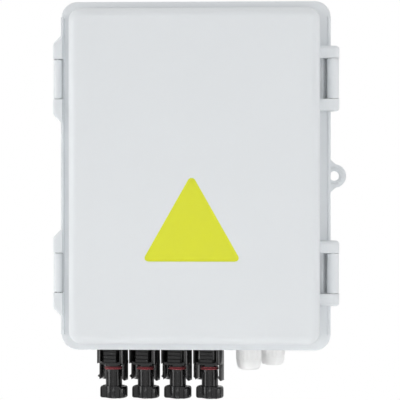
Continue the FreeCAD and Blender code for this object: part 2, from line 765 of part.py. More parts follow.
def latch_housing(body, side):
    """Two cheeks with slanted ends, which carry the latch lever between them."""
    name = "upper" if side > 0 else "lower"
    middle = "(%d * sizes.latch_spacing / 2)" % side
    edge_line = "(-sizes.case_width / 2)"
    proud = "(%s - sizes.latch_proud)" % edge_line
    half = "(sizes.latch_length / 2)"
    housing = new_sketch(body, "latch_housing_" + name, "XZ_Plane", LID_BACK)
    polygon(housing, [
        ("%s + sizes.bead_width / 2" % edge_line, "%s - %s" % (middle, half)),
        (edge_line, "%s - %s" % (middle, half)),
        (proud, "%s - %s + sizes.latch_proud" % (middle, half)),
        (proud, "%s + %s - sizes.latch_proud" % (middle, half)),
        (edge_line, "%s + %s" % (middle, half)),
        ("%s + sizes.bead_width / 2" % edge_line, "%s + %s" % (middle, half)),
    ])
    pad(body, housing, "sizes.latch_housing_depth")
    outer_face = number(proud)
    front_face = -number(LID_BACK) - number("sizes.latch_housing_depth")
    near, far = sorted(side * number("sizes.latch_spacing / 2 + %d * %s" % (end, half))
                       for end in (1, -1))
    round_edges(body, "latch_corners_" + name, "sizes.latch_corner_radius",
                lambda edge: runs_along(edge, "Y") and lies_at(edge, "X", outer_face)
                and near < edge.CenterOfMass.z < far)
    round_edges(body, "latch_edges_" + name, "sizes.latch_edge_radius",
                lambda edge: lies_at(edge, "Y", front_face)
                and edge.BoundBox.XMax < number(edge_line) + 0.01
                and near < edge.CenterOfMass.z < far)
    slot = new_sketch(body, "latch_slot_" + name, "XZ_Plane", LID_BACK)
    inner = "(%s + sizes.lever_nose_radius + sizes.seat_clearance)" % LATCH_X
    width = "(%s / 2 + sizes.seat_clearance)" % LEVER_LENGTH
    rectangle(slot, "%s - 1" % proud, inner,
              "%s - %s" % (middle, width), "%s + %s" % (middle, width))
    pocket(body, slot, "sizes.latch_housing_depth + 1", forward=True)
    bore = new_sketch(body, "latch_bore_" + name, "XY_Plane", middle)
    circle(bore, "sizes.latch_pin_radius + sizes.press_clearance", LATCH_X, LATCH_Y)
    pocket(body, bore, "sizes.latch_length - 4 * sizes.latch_proud", both=True)


def latch_pins():
    """Two short pins, each across one latch housing."""
    length = "(sizes.latch_length - 4 * sizes.latch_proud - sizes.seat_clearance)"
    pins = [
        cylinder("latch_pin_%d" % count, "sizes.latch_pin_radius", length, LATCH_X, LATCH_Y,
                 "%d * sizes.latch_spacing / 2 - %s / 2" % (side, length))
        for count, side in enumerate((1, -1), start=1)
    ]
    group("latch_pins", pins)


def latch_lever(name, side):
    """A snap lever: a round nose on the pin, a plate back over the rim, a hook and a lifted tip."""
    middle = "(%d * sizes.latch_spacing / 2)" % side
    body = new_body(name, LATCH_X, LATCH_Y, middle)
    outer = "(-sizes.lever_nose_radius)"
    inner = "(%s + sizes.lever_thickness)" % outer
    # The hook's front face lies just behind the rim, and its tip just outside it.
    rim_back = "(-sizes.base_depth + sizes.rim_depth - %s + sizes.seat_clearance)" % LATCH_Y
    tip = "(sizes.lever_pivot_out - sizes.seat_clearance)"
    plate = new_sketch(body, name + "_plate", "XY_Plane")
    polygon(plate, [
        (outer, "0"),
        ("0", "0"),
        (inner, "sizes.lever_nose_radius"),
        (inner, rim_back),
        (tip, rim_back),
        (tip, "%s + sizes.hook_length / 2" % rim_back),
        (inner, "%s + sizes.hook_length" % rim_back),
        (inner, "sizes.lever_reach - 2 * sizes.lever_thickness"),
        ("%s - sizes.lever_tip_flare" % inner, "sizes.lever_reach"),
        ("%s - sizes.lever_tip_flare" % outer, "sizes.lever_reach"),
        (outer, "sizes.lever_reach - 2 * sizes.lever_thickness"),
    ])
    pad(body, plate, LEVER_LENGTH, both=True)
    nose = new_sketch(body, name + "_nose", "XY_Plane")
    circle(nose, "sizes.lever_nose_radius")
    pad(body, nose, LEVER_LENGTH, both=True)
    half_length = number(LEVER_LENGTH) / 2
    round_edges(body, name + "_ends", "sizes.lever_edge_radius",
                lambda edge: lies_at(edge, "Z", half_length) or lies_at(edge, "Z", -half_length)
                if edge.BoundBox.XMax < number(outer) + 0.01 else False)
    bore = new_sketch(body, name + "_bore", "XY_Plane")
    circle(bore, "sizes.latch_pin_radius + sizes.running_clearance")
    pocket(body, bore, LEVER_LENGTH, both=True)
    ridge = new_sketch(body, name + "_ridge", "XY_Plane")
    first = "(sizes.lever_reach - 2 * sizes.lever_thickness - sizes.lever_ridge_width)"
    polygon(ridge, [
        ("%s + sizes.lever_thickness / 2" % outer, "%s - sizes.lever_ridge_width" % first),
        (outer, "%s - sizes.lever_ridge_width" % first),
        ("%s - sizes.lever_ridge" % outer, "%s - sizes.lever_ridge_width / 2" % first),
        (outer, first),
        ("%s + sizes.lever_thickness / 2" % outer, first),
    ])
    one_ridge = pad(body, ridge, "%s * 0.7" % LEVER_LENGTH, both=True)
    ridges = body.newObject("PartDesign::LinearPattern", name + "_ridges")
    ridges.Originals = [one_ridge]
    ridges.Direction = (ridge, ["V_Axis"])
    ridges.Reversed = True
    ridges.Occurrences = 3
    ridges.setExpression("Length", "2 * sizes.lever_ridge_pitch")
    body.Tip = ridges


def din_rail():
    """A slotted top-hat rail across the back wall."""
    body = new_body("din_rail")
    half = "(sizes.rail_height / 2)"
    channel = "(sizes.rail_channel / 2)"
    sheet_metal = "sizes.rail_thickness"
    back, front = "(-%s)" % RAIL_BACK, "(-%s)" % RAIL_FRONT
    profile = new_sketch(body, "rail_profile", "YZ_Plane")
    middle = "sizes.rail_centre_height"
    upper = [
        (back, "%s + %s" % (middle, channel)),
        ("%s + %s" % (front, sheet_metal), "%s + %s" % (middle, channel)),
        ("%s + %s" % (front, sheet_metal), "%s + %s" % (middle, half)),
        (front, "%s + %s" % (middle, half)),
        (front, "%s + %s - %s" % (middle, channel, sheet_metal)),
        ("%s - %s" % (back, sheet_metal), "%s + %s - %s" % (middle, channel, sheet_metal)),
    ]
    lower = [
        ("%s - %s" % (back, sheet_metal), "%s - %s + %s" % (middle, channel, sheet_metal)),
        (front, "%s - %s + %s" % (middle, channel, sheet_metal)),
        (front, "%s - %s" % (middle, half)),
        ("%s + %s" % (front, sheet_metal), "%s - %s" % (middle, half)),
        ("%s + %s" % (front, sheet_metal), "%s - %s" % (middle, channel)),
        (back, "%s - %s" % (middle, channel)),
    ]
    pad(body, polygon(profile, upper + lower), "2 * %s - 2 * sizes.rail_end_gap" % INNER_X, both=True)
    slot = new_sketch(body, "rail_slot", "XZ_Plane", "%s + %s" % (RAIL_BACK, sheet_metal))
    slot_width = "(sizes.rail_slot_width / 2)"
    left = "(-2 * sizes.rail_slot_pitch - sizes.rail_slot_length / 2)"
    rectangle(slot, left, "%s + sizes.rail_slot_length" % left,
              "%s - %s" % (middle, slot_width), "%s + %s" % (middle, slot_width))
    one_slot = pocket(body, slot, sheet_metal)
    slots = body.newObject("PartDesign::LinearPattern", "rail_slots")
    slots.Originals = [one_slot]
    slots.Direction = (slot, ["H_Axis"])
    slots.Occurrences = 5
    slots.setExpression("Length", "4 * sizes.rail_slot_pitch")
    body.Tip = slots


def rail_screws():
    """Two pan-head screws that hold the rail to its posts."""
    screws = []
    for count, side in enumerate((1, -1), start=1):
        x = "%d * sizes.rail_screw_spacing / 2" % side
        head_back = "(-%s - sizes.rail_thickness)" % RAIL_BACK
        shank = cylinder("rail_screw_shank_%d" % count, "sizes.rail_screw_radius",
                         "sizes.rail_screw_length + sizes.rail_thickness", x,
                         "%s + sizes.rail_screw_length + sizes.rail_thickness" % head_back,
                         "sizes.rail_centre_height", along="Y")
        head = cylinder("rail_screw_head_%d" % count, "sizes.rail_screw_head_radius",
                        "sizes.rail_screw_head_height", x, head_back,
                        "sizes.rail_centre_height", along="Y")
        screws.append(fuse("rail_screw_%d" % count, [shank, head]))
    group("din_rail_screws", screws)


def module_profile(sketch, nose_height):
    """The side view of a rail module: nose, shoulders, and hooks behind the rail's edges."""
    centre = "sizes.rail_centre_height"
    nose_half = "(%s / 2)" % nose_height
    half = "(sizes.module_height / 2)"
    seat = "(-%s - sizes.seat_clearance / 2)" % RAIL_FRONT
    foot = "(-%s + sizes.module_foot_depth)" % RAIL_FRONT
    lip = "(-%s + sizes.rail_thickness + sizes.seat_clearance)" % RAIL_FRONT
    edge = "(sizes.rail_height / 2 + sizes.seat_clearance)"
    hook = "(sizes.rail_height / 2 - sizes.hook_overlap)"
    side = [
        ("-" + NOSE, nose_half), ("-" + SHOULDER, nose_half), ("-" + SHOULDER, half),
        (foot, half), (foot, hook), (lip, hook), (lip, edge), (seat, edge),
    ]
    upper = [(y, "%s + %s" % (centre, z)) for y, z in side]
    lower = [(y, "%s - %s" % (centre, z)) for y, z in reversed(side)]
    return polygon(sketch, upper + lower)


def module_terminals(body, name, offsets):
    """Wire entries in the two ends of a module, and screw wells in its shoulders."""
    entry = "(sizes.terminal_depth)"
    for end, level, forward in (("top", MODULE_TOP, False), ("bottom", MODULE_BOTTOM, True)):
        wires = new_sketch(body, "%s_%s_entries" % (name, end), "XY_Plane", level)
        half = "(sizes.terminal_width / 2)"
        for offset in offsets:
            rectangle(wires, "%s - %s" % (offset, half), "%s + %s" % (offset, half),
                      "%s - sizes.terminal_height / 2" % TERMINAL_Y,
                      "%s + sizes.terminal_height / 2" % TERMINAL_Y)
        pocket(body, wires, entry, forward=forward)
    wells = new_sketch(body, name + "_screw_wells", "XZ_Plane", SHOULDER)
    for offset in offsets:
        for sign, level in (("-", MODULE_TOP), ("+", MODULE_BOTTOM)):
            circle(wells, "sizes.screw_well_radius", offset,
                   "%s %s sizes.terminal_depth / 2" % (level, sign))
    pocket(body, wells, "sizes.terminal_from_shoulder")


def soften_nose(body, name):
    """Break the sharp edges round a module's front face."""
    front = -number(NOSE)
    doc.recompute()
    base = body.Tip
    names = ["Edge%d" % count for count, edge in enumerate(base.Shape.Edges, start=1)
             if lies_at(edge, "Y", front)]
    feature = body.newObject("PartDesign::Chamfer", name)
    feature.Base = (base, names)
    feature.setExpression("Size", "sizes.module_edge")


def fuse_base(count, x):
    """One fuse holder: a slim module with a deep slot in which its carrier swings."""
    name = "fuse_base_%d" % count
    body = new_body(name, x)
    side_view = module_profile(new_sketch(body, name + "_side", "YZ_Plane"), "sizes.fuse_nose_height")
    pad(body, side_view, "sizes.module_pitch - sizes.module_gap", both=True)
    soften_nose(body, name + "_front_edge")
    module_terminals(body, name, ["0"])
    slot = new_sketch(body, name + "_slot", "YZ_Plane")
    carrier_slot(slot)
    pocket(body, slot, "sizes.carrier_width + 2 * sizes.seat_clearance", both=True)
    bore = new_sketch(body, name + "_trunnion_holes", "YZ_Plane")
    circle(bore, "sizes.trunnion_radius + sizes.running_clearance", CARRIER_Y, CARRIER_Z)
    pocket(body, bore, "sizes.carrier_width + 2 * sizes.trunnion_length + 2 * sizes.seat_clearance",
           both=True)


def swing_arc(sketch, radius, start, end):
    """An arc about the carrier's pivot, between two points in the pivot's own frame."""
    centre = Vector(number(CARRIER_Y), number(CARRIER_Z), 0)
    round_line = Part.Circle(centre, Vector(0, 0, 1), number(radius))
    angles = [math.atan2(number(point[1]), number(point[0])) for point in (start, end)]
    if angles[1] < angles[0]:
        angles[1] += 2 * math.pi
    element = sketch.addGeometry(Part.ArcOfCircle(round_line, *angles))
    bind_point(sketch, element, 3, CARRIER_Y, CARRIER_Z)
    bind(sketch, "Radius", element, radius)
    return element


def swing_line(sketch, start, end):
    """A straight line between two points in the pivot's own frame."""
    centre = Vector(number(CARRIER_Y), number(CARRIER_Z), 0)
    ends = [centre + Vector(number(y), number(z), 0) for y, z in (start, end)]
    return sketch.addGeometry(Part.LineSegment(*ends))


def join(sketch, *pairs):
    """Make pairs of points in a sketch meet."""
    for pair in pairs:
        sketch.addConstraint(Sketcher.Constraint("Coincident", *pair))


def on_arc(radius, y):
    """The height at which an arc about the pivot crosses a given depth."""
    return "sqrt(%s ^ 2 - (%s) ^ 2)" % (radius, y)


def carrier_slot(sketch):
    """The slot: open in front, a round floor about the pivot and a round roof."""
    reach = "(sizes.carrier_reach + sizes.seat_clearance)"
    floor = "(sizes.carrier_pivot_depth + sizes.carrier_proud + sizes.seat_clearance)"
    front = "(-sizes.carrier_pivot_depth - 1)"
    back = "(sizes.fuse_setback + sizes.fuse_radius + sizes.seat_clearance)"
    front_top, back_top = (front, on_arc(reach, front)), (back, on_arc(reach, back))
    roof = swing_arc(sketch, reach, back_top, front_top)
    rear = swing_line(sketch, back_top, (back, "0"))
    step = swing_line(sketch, (back, "0"), (floor, "0"))
    bowl = swing_arc(sketch, floor, ("0", "-" + floor), (floor, "0"))
    sill = swing_line(sketch, ("0", "-" + floor), (front, "-" + floor))
    mouth = swing_line(sketch, (front, "-" + floor), front_top)
    join(sketch, (roof, 1, rear, 1), (rear, 2, step, 1), (step, 2, bowl, 2),
         (bowl, 1, sill, 1), (sill, 2, mouth, 1), (mouth, 2, roof, 2))
    sketch.addConstraint(Sketcher.Constraint("Vertical", rear))
    sketch.addConstraint(Sketcher.Constraint("Vertical", mouth))
    sketch.addConstraint(Sketcher.Constraint("Horizontal", sill))
    bind_point(sketch, rear, 2, "%s + %s" % (CARRIER_Y, back), CARRIER_Z)
    bind(sketch, "DistanceY", -1, 1, step, 2, CARRIER_Z)
    bind(sketch, "DistanceX", -1, 1, sill, 1, CARRIER_Y)
    bind(sketch, "DistanceX", -1, 1, sill, 2, "%s + %s" % (CARRIER_Y, front))


def carrier_outline(sketch):
    """The carrier's side view: a flat front, a round foot about the pivot and a round top."""
    reach = "sizes.carrier_reach"
    foot = "(sizes.carrier_pivot_depth + sizes.carrier_proud)"
    back = "sizes.carrier_depth"
    heel = "sizes.trunnion_radius"
    front_top, back_top = ("-" + foot, on_arc(reach, foot)), (back, on_arc(reach, back))
    top = swing_arc(sketch, reach, back_top, front_top)
    rear = swing_line(sketch, back_top, (back, heel))
    slope = swing_line(sketch, (back, heel), (foot, "0"))
    sole = swing_arc(sketch, foot, ("-" + foot, "-0.0001"), (foot, "0"))
    face = swing_line(sketch, ("-" + foot, "0"), front_top)
    join(sketch, (top, 1, rear, 1), (rear, 2, slope, 1), (slope, 2, sole, 2),
         (sole, 1, face, 1), (face, 2, top, 2))
    sketch.addConstraint(Sketcher.Constraint("Vertical", rear))
    sketch.addConstraint(Sketcher.Constraint("Vertical", face))
    bind_point(sketch, rear, 2, "%s + %s" % (CARRIER_Y, back), "%s + %s" % (CARRIER_Z, heel))
    bind(sketch, "DistanceY", -1, 1, slope, 2, CARRIER_Z)
    bind(sketch, "DistanceY", -1, 1, sole, 1, CARRIER_Z)


def fuse_carrier(count, x):
    """The swinging carrier: a front plate and two cheeks on a pair of trunnions."""
    name = "fuse_carrier_%d" % count
    body = new_body(name, x)
    outline = new_sketch(body, name + "_outline", "YZ_Plane")
    carrier_outline(outline)
    pad(body, outline, "sizes.carrier_width", both=True)
    trunnions = new_sketch(body, name + "_trunnions", "YZ_Plane")
    circle(trunnions, "sizes.trunnion_radius", CARRIER_Y, CARRIER_Z)
    pad(body, trunnions, "sizes.carrier_width + 2 * sizes.trunnion_length", both=True)
    cradle = new_sketch(body, name + "_cradle", "YZ_Plane")
    low = "(%s - sizes.seat_clearance)" % fuse_bottom()
    rectangle(cradle,
              "%s - sizes.carrier_pivot_depth - sizes.carrier_proud + sizes.carrier_front" % CARRIER_Y,
              "%s + sizes.carrier_depth + 1" % CARRIER_Y,
              low, "%s + sizes.fuse_length + 2 * sizes.seat_clearance" % low)
    pocket(body, cradle, "sizes.carrier_width - 2 * sizes.carrier_cheek", both=True)
    grip = new_sketch(body, name + "_grip", "XZ_Plane", "%s + sizes.carrier_proud" % NOSE)
    grip_top = "(%s + sizes.carrier_reach - 2 * sizes.carrier_front)" % CARRIER_Z
    rectangle(grip, "-sizes.carrier_width / 2 + sizes.carrier_cheek",
              "sizes.carrier_width / 2 - sizes.carrier_cheek",
              "%s - sizes.fuse_ferrule" % grip_top, grip_top)
    pocket(body, grip, "sizes.carrier_front / 2")


def fuse_bottom():
    """The height of a fuse's lower end, so that it sits centred in its carrier."""
    return "(%s + (sizes.carrier_reach - sizes.fuse_length) / 2 - sizes.carrier_proud)" % CARRIER_Z


def fuse_link(count, x):
    """A cylindrical fuse, a little slimmer between its two end caps."""
    name = "fuse_link_%d" % count
    body = new_body(name, x, "%s + sizes.fuse_setback" % CARRIER_Y, fuse_bottom())
    profile = new_sketch(body, name + "_profile", "XZ_Plane")
    tube = "(sizes.fuse_radius * 0.94)"
    polygon(profile, [
        ("0", "0"), ("sizes.fuse_radius", "0"), ("sizes.fuse_radius", "sizes.fuse_ferrule"),
        (tube, "sizes.fuse_ferrule"), (tube, "sizes.fuse_length - sizes.fuse_ferrule"),
        ("sizes.fuse_radius", "sizes.fuse_length - sizes.fuse_ferrule"),
        ("sizes.fuse_radius", "sizes.fuse_length"), ("0", "sizes.fuse_length"),
    ])
    revolve(body, profile)


def breaker_case():
    """A two-pole breaker's case, with a round well for its handle."""
    body = new_body("breaker_case", BREAKER_X)
    side_view = module_profile(new_sketch(body, "breaker_side", "YZ_Plane"), "sizes.breaker_nose_height")
    pad(body, side_view, "2 * sizes.module_pitch - sizes.module_gap", both=True)
    soften_nose(body, "breaker_front_edge")
    module_terminals(body, "breaker", pole_offsets())
    well = new_sketch(body, "handle_well", "YZ_Plane")
    circle(well, "sizes.toggle_radius + sizes.seat_clearance", TOGGLE_Y, "sizes.rail_centre_height")
    pocket(body, well, "sizes.toggle_width + 2 * sizes.seat_clearance", both=True)
    bore = new_sketch(body, "handle_bore", "YZ_Plane")
    circle(bore, "sizes.trunnion_radius + sizes.running_clearance", TOGGLE_Y, "sizes.rail_centre_height")
    pocket(body, bore, "sizes.toggle_width + 4 * sizes.trunnion_length", both=True)


def pole_offsets():
    """The two poles' places across a two-pole module."""
    return ["(-sizes.module_pitch / 2)", "(sizes.module_pitch / 2)"]


def breaker_toggle():
    """The breaker's handle: a drum on two trunnions, with one arm that spans both poles."""
    body = new_body("breaker_toggle", BREAKER_X, TOGGLE_Y, "sizes.rail_centre_height")
    drum = new_sketch(body, "drum", "YZ_Plane")
    circle(drum, "sizes.toggle_radius")
    pad(body, drum, "sizes.toggle_width", both=True)
    arm = new_sketch(body, "arm", "YZ_Plane")
    rest = "sizes.toggle_rest_angle"
    half = "(sizes.toggle_arm_thickness / 2)"
    # Each corner is a distance along the arm and one across it, turned up by the rest angle.
    corners = []
    for along, across in (("0", half), ("sizes.toggle_arm_length", "(%s * 0.7)" % half),
                          ("sizes.toggle_arm_length", "(-%s * 0.7)" % half), ("0", "(-%s)" % half)):
        corners.append((
            "-%s * cos(%s) + %s * sin(%s)" % (along, rest, across, rest),
            "%s * sin(%s) + %s * cos(%s)" % (along, rest, across, rest),
        ))
    pad(body, polygon(arm, corners), "sizes.toggle_width - 2 * sizes.toggle_arm_thickness", both=True)
    trunnions = new_sketch(body, "toggle_trunnions", "YZ_Plane")
    circle(trunnions, "sizes.trunnion_radius")
    pad(body, trunnions, "sizes.toggle_width + 2 * sizes.trunnion_length", both=True)


def surge_protector():
    """A two-pole surge protector: one case, its nose split by a groove, with two windows."""
    body = new_body("surge_protector", ARRESTER_X)
    side_view = module_profile(new_sketch(body, "arrester_side", "YZ_Plane"), "sizes.arrester_nose_height")
    pad(body, side_view, "2 * sizes.module_pitch - sizes.module_gap", both=True)
    soften_nose(body, "arrester_front_edge")
    module_terminals(body, "arrester", pole_offsets())
    groove = new_sketch(body, "arrester_groove", "XZ_Plane", NOSE)
    half = "(sizes.arrester_module_gap / 2)"
    rectangle(groove, "-" + half, half,
              "sizes.rail_centre_height - sizes.arrester_nose_height / 2 - 1",
              "sizes.rail_centre_height + sizes.arrester_nose_height / 2 + 1")
    pocket(body, groove, "sizes.module_depth - sizes.shoulder_depth")
    windows = new_sketch(body, "arrester_windows", "XZ_Plane", NOSE)
    for offset in pole_offsets():
        rectangle(windows, "%s - sizes.terminal_width / 2" % offset,
                  "%s + sizes.terminal_width / 2" % offset,
                  "sizes.rail_centre_height + sizes.arrester_nose_height / 8",
                  "sizes.rail_centre_height + sizes.arrester_nose_height / 4")
    pocket(body, windows, "sizes.arrester_module_gap")


def terminal_screws():
    """One clamping screw in each well of the modules."""
    places = [(x, "0") for x in FUSE_X]
    places += [(x, offset) for x in (BREAKER_X, ARRESTER_X) for offset in pole_offsets()]
    screws = []
    for x, offset in places:
        for sign, level in (("-", MODULE_TOP), ("+", MODULE_BOTTOM)):
            screws.append(cylinder(
                "terminal_screw_%d" % (len(screws) + 1), "sizes.terminal_screw_radius",
                "sizes.terminal_screw_length", "%s + %s" % (x, offset),
                "%s - sizes.running_clearance" % CLAMP_Y,
                "%s %s sizes.terminal_depth / 2" % (level, sign), along="Y"))
    group("terminal_screws", screws)


def comb_busbar():
    """A copper comb along the tops of the fuses, with one tooth in each terminal."""
    body = new_body("comb_busbar")
    feeds = FUSE_X + ["(%s - sizes.module_pitch / 2)" % BREAKER_X]
    low = "(%s + sizes.busbar_rise)" % MODULE_TOP
    comb = new_sketch(body, "comb", "XZ_Plane", "-%s - sizes.busbar_thickness" % CLAMP_Y)
    half = "(sizes.busbar_pin_width / 2)"
    corners = []
    for x in feeds:
        corners += [
            ("%s - %s" % (x, half), low),
            ("%s - %s" % (x, half), "%s - sizes.busbar_rise - sizes.busbar_pin_length" % low),
            ("%s + %s" % (x, half), "%s - sizes.busbar_rise - sizes.busbar_pin_length" % low),
            ("%s + %s" % (x, half), low),
        ]
    corners[0] = ("%s - sizes.module_pitch / 3" % FUSE_X[0], low)
    corners.insert(1, ("%s - %s" % (FUSE_X[0], half), low))
    corners[-1] = ("%s + sizes.module_pitch / 3" % feeds[-1], low)
    corners.insert(-1, ("%s + %s" % (feeds[-1], half), low))
    corners += [
        (corners[-1][0], "%s + sizes.busbar_height" % low),
        (corners[0][0], "%s + sizes.busbar_height" % low),
    ]
    pad(body, polygon(comb, corners), "sizes.busbar_thickness")


def bar_screw_places():
    """The places of the negative bar's screws along it."""
    return ["(sizes.bar_centre_out + sizes.bar_screw_pitch * %s)" % step
            for step in (-2.5, -1.5, -0.5, 0.5, 1.5, 2.5)]


def negative_bar():
    """A brass bar on two stands, with a wire hole from below and a screw for each wire."""
    length = "sizes.bar_length"
    bar = new_body("negative_bar", "sizes.bar_centre_out", "-sizes.wall - sizes.bar_standoff", BAR_Z)
    section = new_sketch(bar, "bar_section_outline", "YZ_Plane")
    half = "(sizes.bar_section / 2)"
    pad(bar, rectangle(section, "-sizes.bar_section", "0", "-" + half, half), length, both=True)
    wires = new_sketch(bar, "bar_wire_holes", "XY_Plane", "-" + half)
    screws = new_sketch(bar, "bar_screw_holes", "XZ_Plane", "sizes.bar_section")
    for x in bar_screw_places():
        circle(wires, "sizes.lead_radius + sizes.running_clearance",
               "%s - sizes.bar_centre_out" % x, "-" + half)
        circle(screws, "sizes.bar_screw_radius + sizes.running_clearance",
               "%s - sizes.bar_centre_out" % x, "0")
    pocket(bar, wires, "sizes.bar_section * 0.6", forward=True)
    pocket(bar, screws, "sizes.bar_screw_length / 2")
    group("negative_bar_screws", [
        cylinder("bar_screw_%d" % count, "sizes.bar_screw_radius", "sizes.bar_screw_length", x,
                 "-%s + sizes.bar_screw_length / 2" % BAR_FRONT, BAR_Z, along="Y")
        for count, x in enumerate(bar_screw_places(), start=1)
    ])
    stands = []
    for count, side in enumerate((1, -1), start=1):
        x = "(sizes.bar_centre_out + %d * (%s / 2 - sizes.bar_stand_width / 2))" % (side, length)
        stands.append(box("bar_stand_%d" % count, "sizes.bar_stand_width", "sizes.bar_standoff",
                          "sizes.bar_section", "%s - sizes.bar_stand_width / 2" % x,
                          "-sizes.wall - sizes.bar_standoff", "%s - %s" % (BAR_Z, half)))
    group("negative_bar_stands", stands)


def stub_profile():
    """The half section that both kinds of string connector share above their bodies."""
    return [
        ("0", "sizes.stub_length - sizes.lead_insert"),
        ("sizes.lead_radius + sizes.running_clearance", "sizes.stub_length - sizes.lead_insert"),
        ("sizes.lead_radius + sizes.running_clearance", "sizes.stub_length"),
        ("sizes.stub_radius", "sizes.stub_length"),
        ("sizes.stub_radius", "0"),
        ("sizes.collar_radius", "0"),
        ("sizes.collar_radius", "-sizes.collar_height"),
    ]


def turned_body(name, x):
    """A body under the front row, turned about its own axis as the connectors are."""
    body = new_body(name, x, "-sizes.front_row_depth", "-" + WALL_Z)
    body.setExpression("Placement.Rotation.Angle", "sizes.connector_turn * 1deg")
    return body


def rib_block(body, name):
    """The block between the guards, with ribs across its front."""
    side_view = new_sketch(body, name + "_rib_block", "YZ_Plane")
    front = "(-sizes.rib_block_front)"
    points = [("0", "-sizes.collar_height"), (front, "-sizes.collar_height")]
    for step in range(1, 5):
        level = "(-sizes.collar_height - sizes.body_rib_pitch * %d)" % step
        points += [
            (front, "%s + sizes.body_rib_pitch / 2" % level),
            ("%s + sizes.body_rib" % front, "%s + sizes.body_rib_pitch / 2" % level),
            ("%s + sizes.body_rib" % front, level),
            (front, level),
        ]
    points += [(front, "-sizes.body_length"), ("0", "-sizes.body_length")]
    pad(body, polygon(side_view, points), "sizes.rib_block_width", both=True)


def socket_connector(count, x):
    """A panel connector with a ribbed block, two guards, a yoke, two snap fingers and a plug."""
    name = "socket_connector_%d" % count
    body = turned_body(name, x)
    profile = new_sketch(body, name + "_profile", "XZ_Plane")
    seat_end = "(-sizes.seal_ring_start - sizes.seal_ring_width)"
    polygon(profile, stub_profile() + [
        ("sizes.body_radius", "-sizes.collar_height"),
        ("sizes.body_radius", "-sizes.body_length"),
        ("sizes.seal_seat_radius", "-sizes.seal_ring_start"),
        ("sizes.seal_seat_radius", seat_end),
        ("sizes.plug_radius", seat_end),
        ("sizes.plug_radius", "-sizes.plug_end"),
        ("0", "-sizes.plug_end"),
    ])
    revolve(body, profile)
    rib_block(body, name)
    yoke = new_sketch(body, name + "_yoke", "XZ_Plane")
    rectangle(yoke, "-sizes.yoke_half_width", "sizes.yoke_half_width",
              "-sizes.body_length - sizes.yoke_thickness", "-sizes.body_length")
    pad(body, yoke, "2 * sizes.rib_block_front", both=True)
    guards = new_sketch(body, name + "_guards", "XZ_Plane", "-sizes.guard_back")
    rim = "(sizes.guard_outer - sizes.guard_thickness)"
    for side in (1, -1):
        polygon(guards, [
            ("%d * %s" % (side, rim), "-sizes.collar_height / 2"),
            ("%d * sizes.guard_outer" % side, "-sizes.collar_height / 2"),
            ("%d * sizes.guard_outer" % side, "-sizes.guard_length"),
            ("%d * %s" % (side, rim), "-sizes.guard_length + sizes.guard_thickness / 2"),
        ])
    pad(body, guards, "sizes.rib_block_front + sizes.guard_back")
    fingers = new_sketch(body, name + "_fingers", "XZ_Plane")
    inner = "(sizes.finger_outer - sizes.finger_thickness)"
    end = "(-sizes.finger_length)"
    polygon(fingers, [
        ("-" + inner, "-sizes.collar_height / 2"),
        ("-sizes.finger_outer", "-sizes.collar_height / 2"),
        ("-sizes.finger_outer", "%s + 5 * sizes.finger_barb" % end),
        ("-sizes.finger_outer - sizes.finger_barb", "%s + 3 * sizes.finger_barb" % end),
        ("-sizes.finger_outer + sizes.finger_barb / 4", end),
        ("-" + inner, "%s + sizes.finger_barb" % end),
    ])
    polygon(fingers, [
        (inner, "-sizes.collar_height / 2"),
        ("sizes.finger_outer", "-sizes.collar_height / 2"),
        ("sizes.finger_outer", "%s + 2 * sizes.finger_barb" % end),
        (inner, end),
        ("%s - 1.5 * sizes.finger_barb" % inner, "%s + 2 * sizes.finger_barb" % end),
        (inner, "%s + 3.5 * sizes.finger_barb" % end),
    ])
    pad(body, fingers, "sizes.finger_width", both=True)


def socket_cap(count, x):
    """The dust cap on the end of a plug: a low knob with two flats."""
    name = "socket_cap_%d" % count
    body = turned_body(name, x)
    profile = new_sketch(body, name + "_profile", "XZ_Plane")
    bore = "(sizes.plug_radius + sizes.running_clearance)"
    bottom = "(-sizes.cap_start - sizes.cap_length)"
    polygon(profile, [
        ("0", "-sizes.plug_end - sizes.seat_clearance"),
        (bore, "-sizes.plug_end - sizes.seat_clearance"),
        (bore, "-sizes.cap_start"),
        ("sizes.cap_radius - sizes.cap_edge", "-sizes.cap_start"),
        ("sizes.cap_radius - 0.3 * sizes.cap_edge", "-sizes.cap_start - 0.3 * sizes.cap_edge"),
        ("sizes.cap_radius", "-sizes.cap_start - sizes.cap_edge"),
        ("sizes.cap_radius", "%s + sizes.cap_edge / 2" % bottom),
        ("sizes.cap_radius - sizes.cap_edge / 2", bottom),
        ("sizes.cap_radius / 2", bottom),
        ("sizes.cap_radius / 3", "%s - sizes.cap_boss" % bottom),
        ("0", "%s - sizes.cap_boss" % bottom),
    ])
    revolve(body, profile)
    flats = new_sketch(body, name + "_flats", "YZ_Plane")
    for side in (1, -1):
        rectangle(flats, "%d * sizes.cap_flat" % side, "%d * (sizes.cap_radius + 1)" % side,
                  bottom, "-sizes.cap_start")
    pocket(body, flats, "2 * sizes.cap_radius + 1", both=True)


def seal_rings():
    """The red sealing rings on the four plugs."""
    rings = []
    for count, x in enumerate(CONNECTOR_X, start=1):
        level = "-%s - sizes.seal_ring_start - sizes.seal_ring_width" % WALL_Z
        outer = cylinder("seal_ring_outer_%d" % count, "sizes.seal_ring_radius",
                         "sizes.seal_ring_width", x, "-sizes.front_row_depth", level)
        inner = cylinder("seal_ring_inner_%d" % count,
                         "sizes.seal_seat_radius + sizes.press_clearance",
                         "sizes.seal_ring_width", x, "-sizes.front_row_depth", level)
        rings.append(cut("seal_ring_%d" % count, outer, inner))
    group("socket_seal_rings", rings)


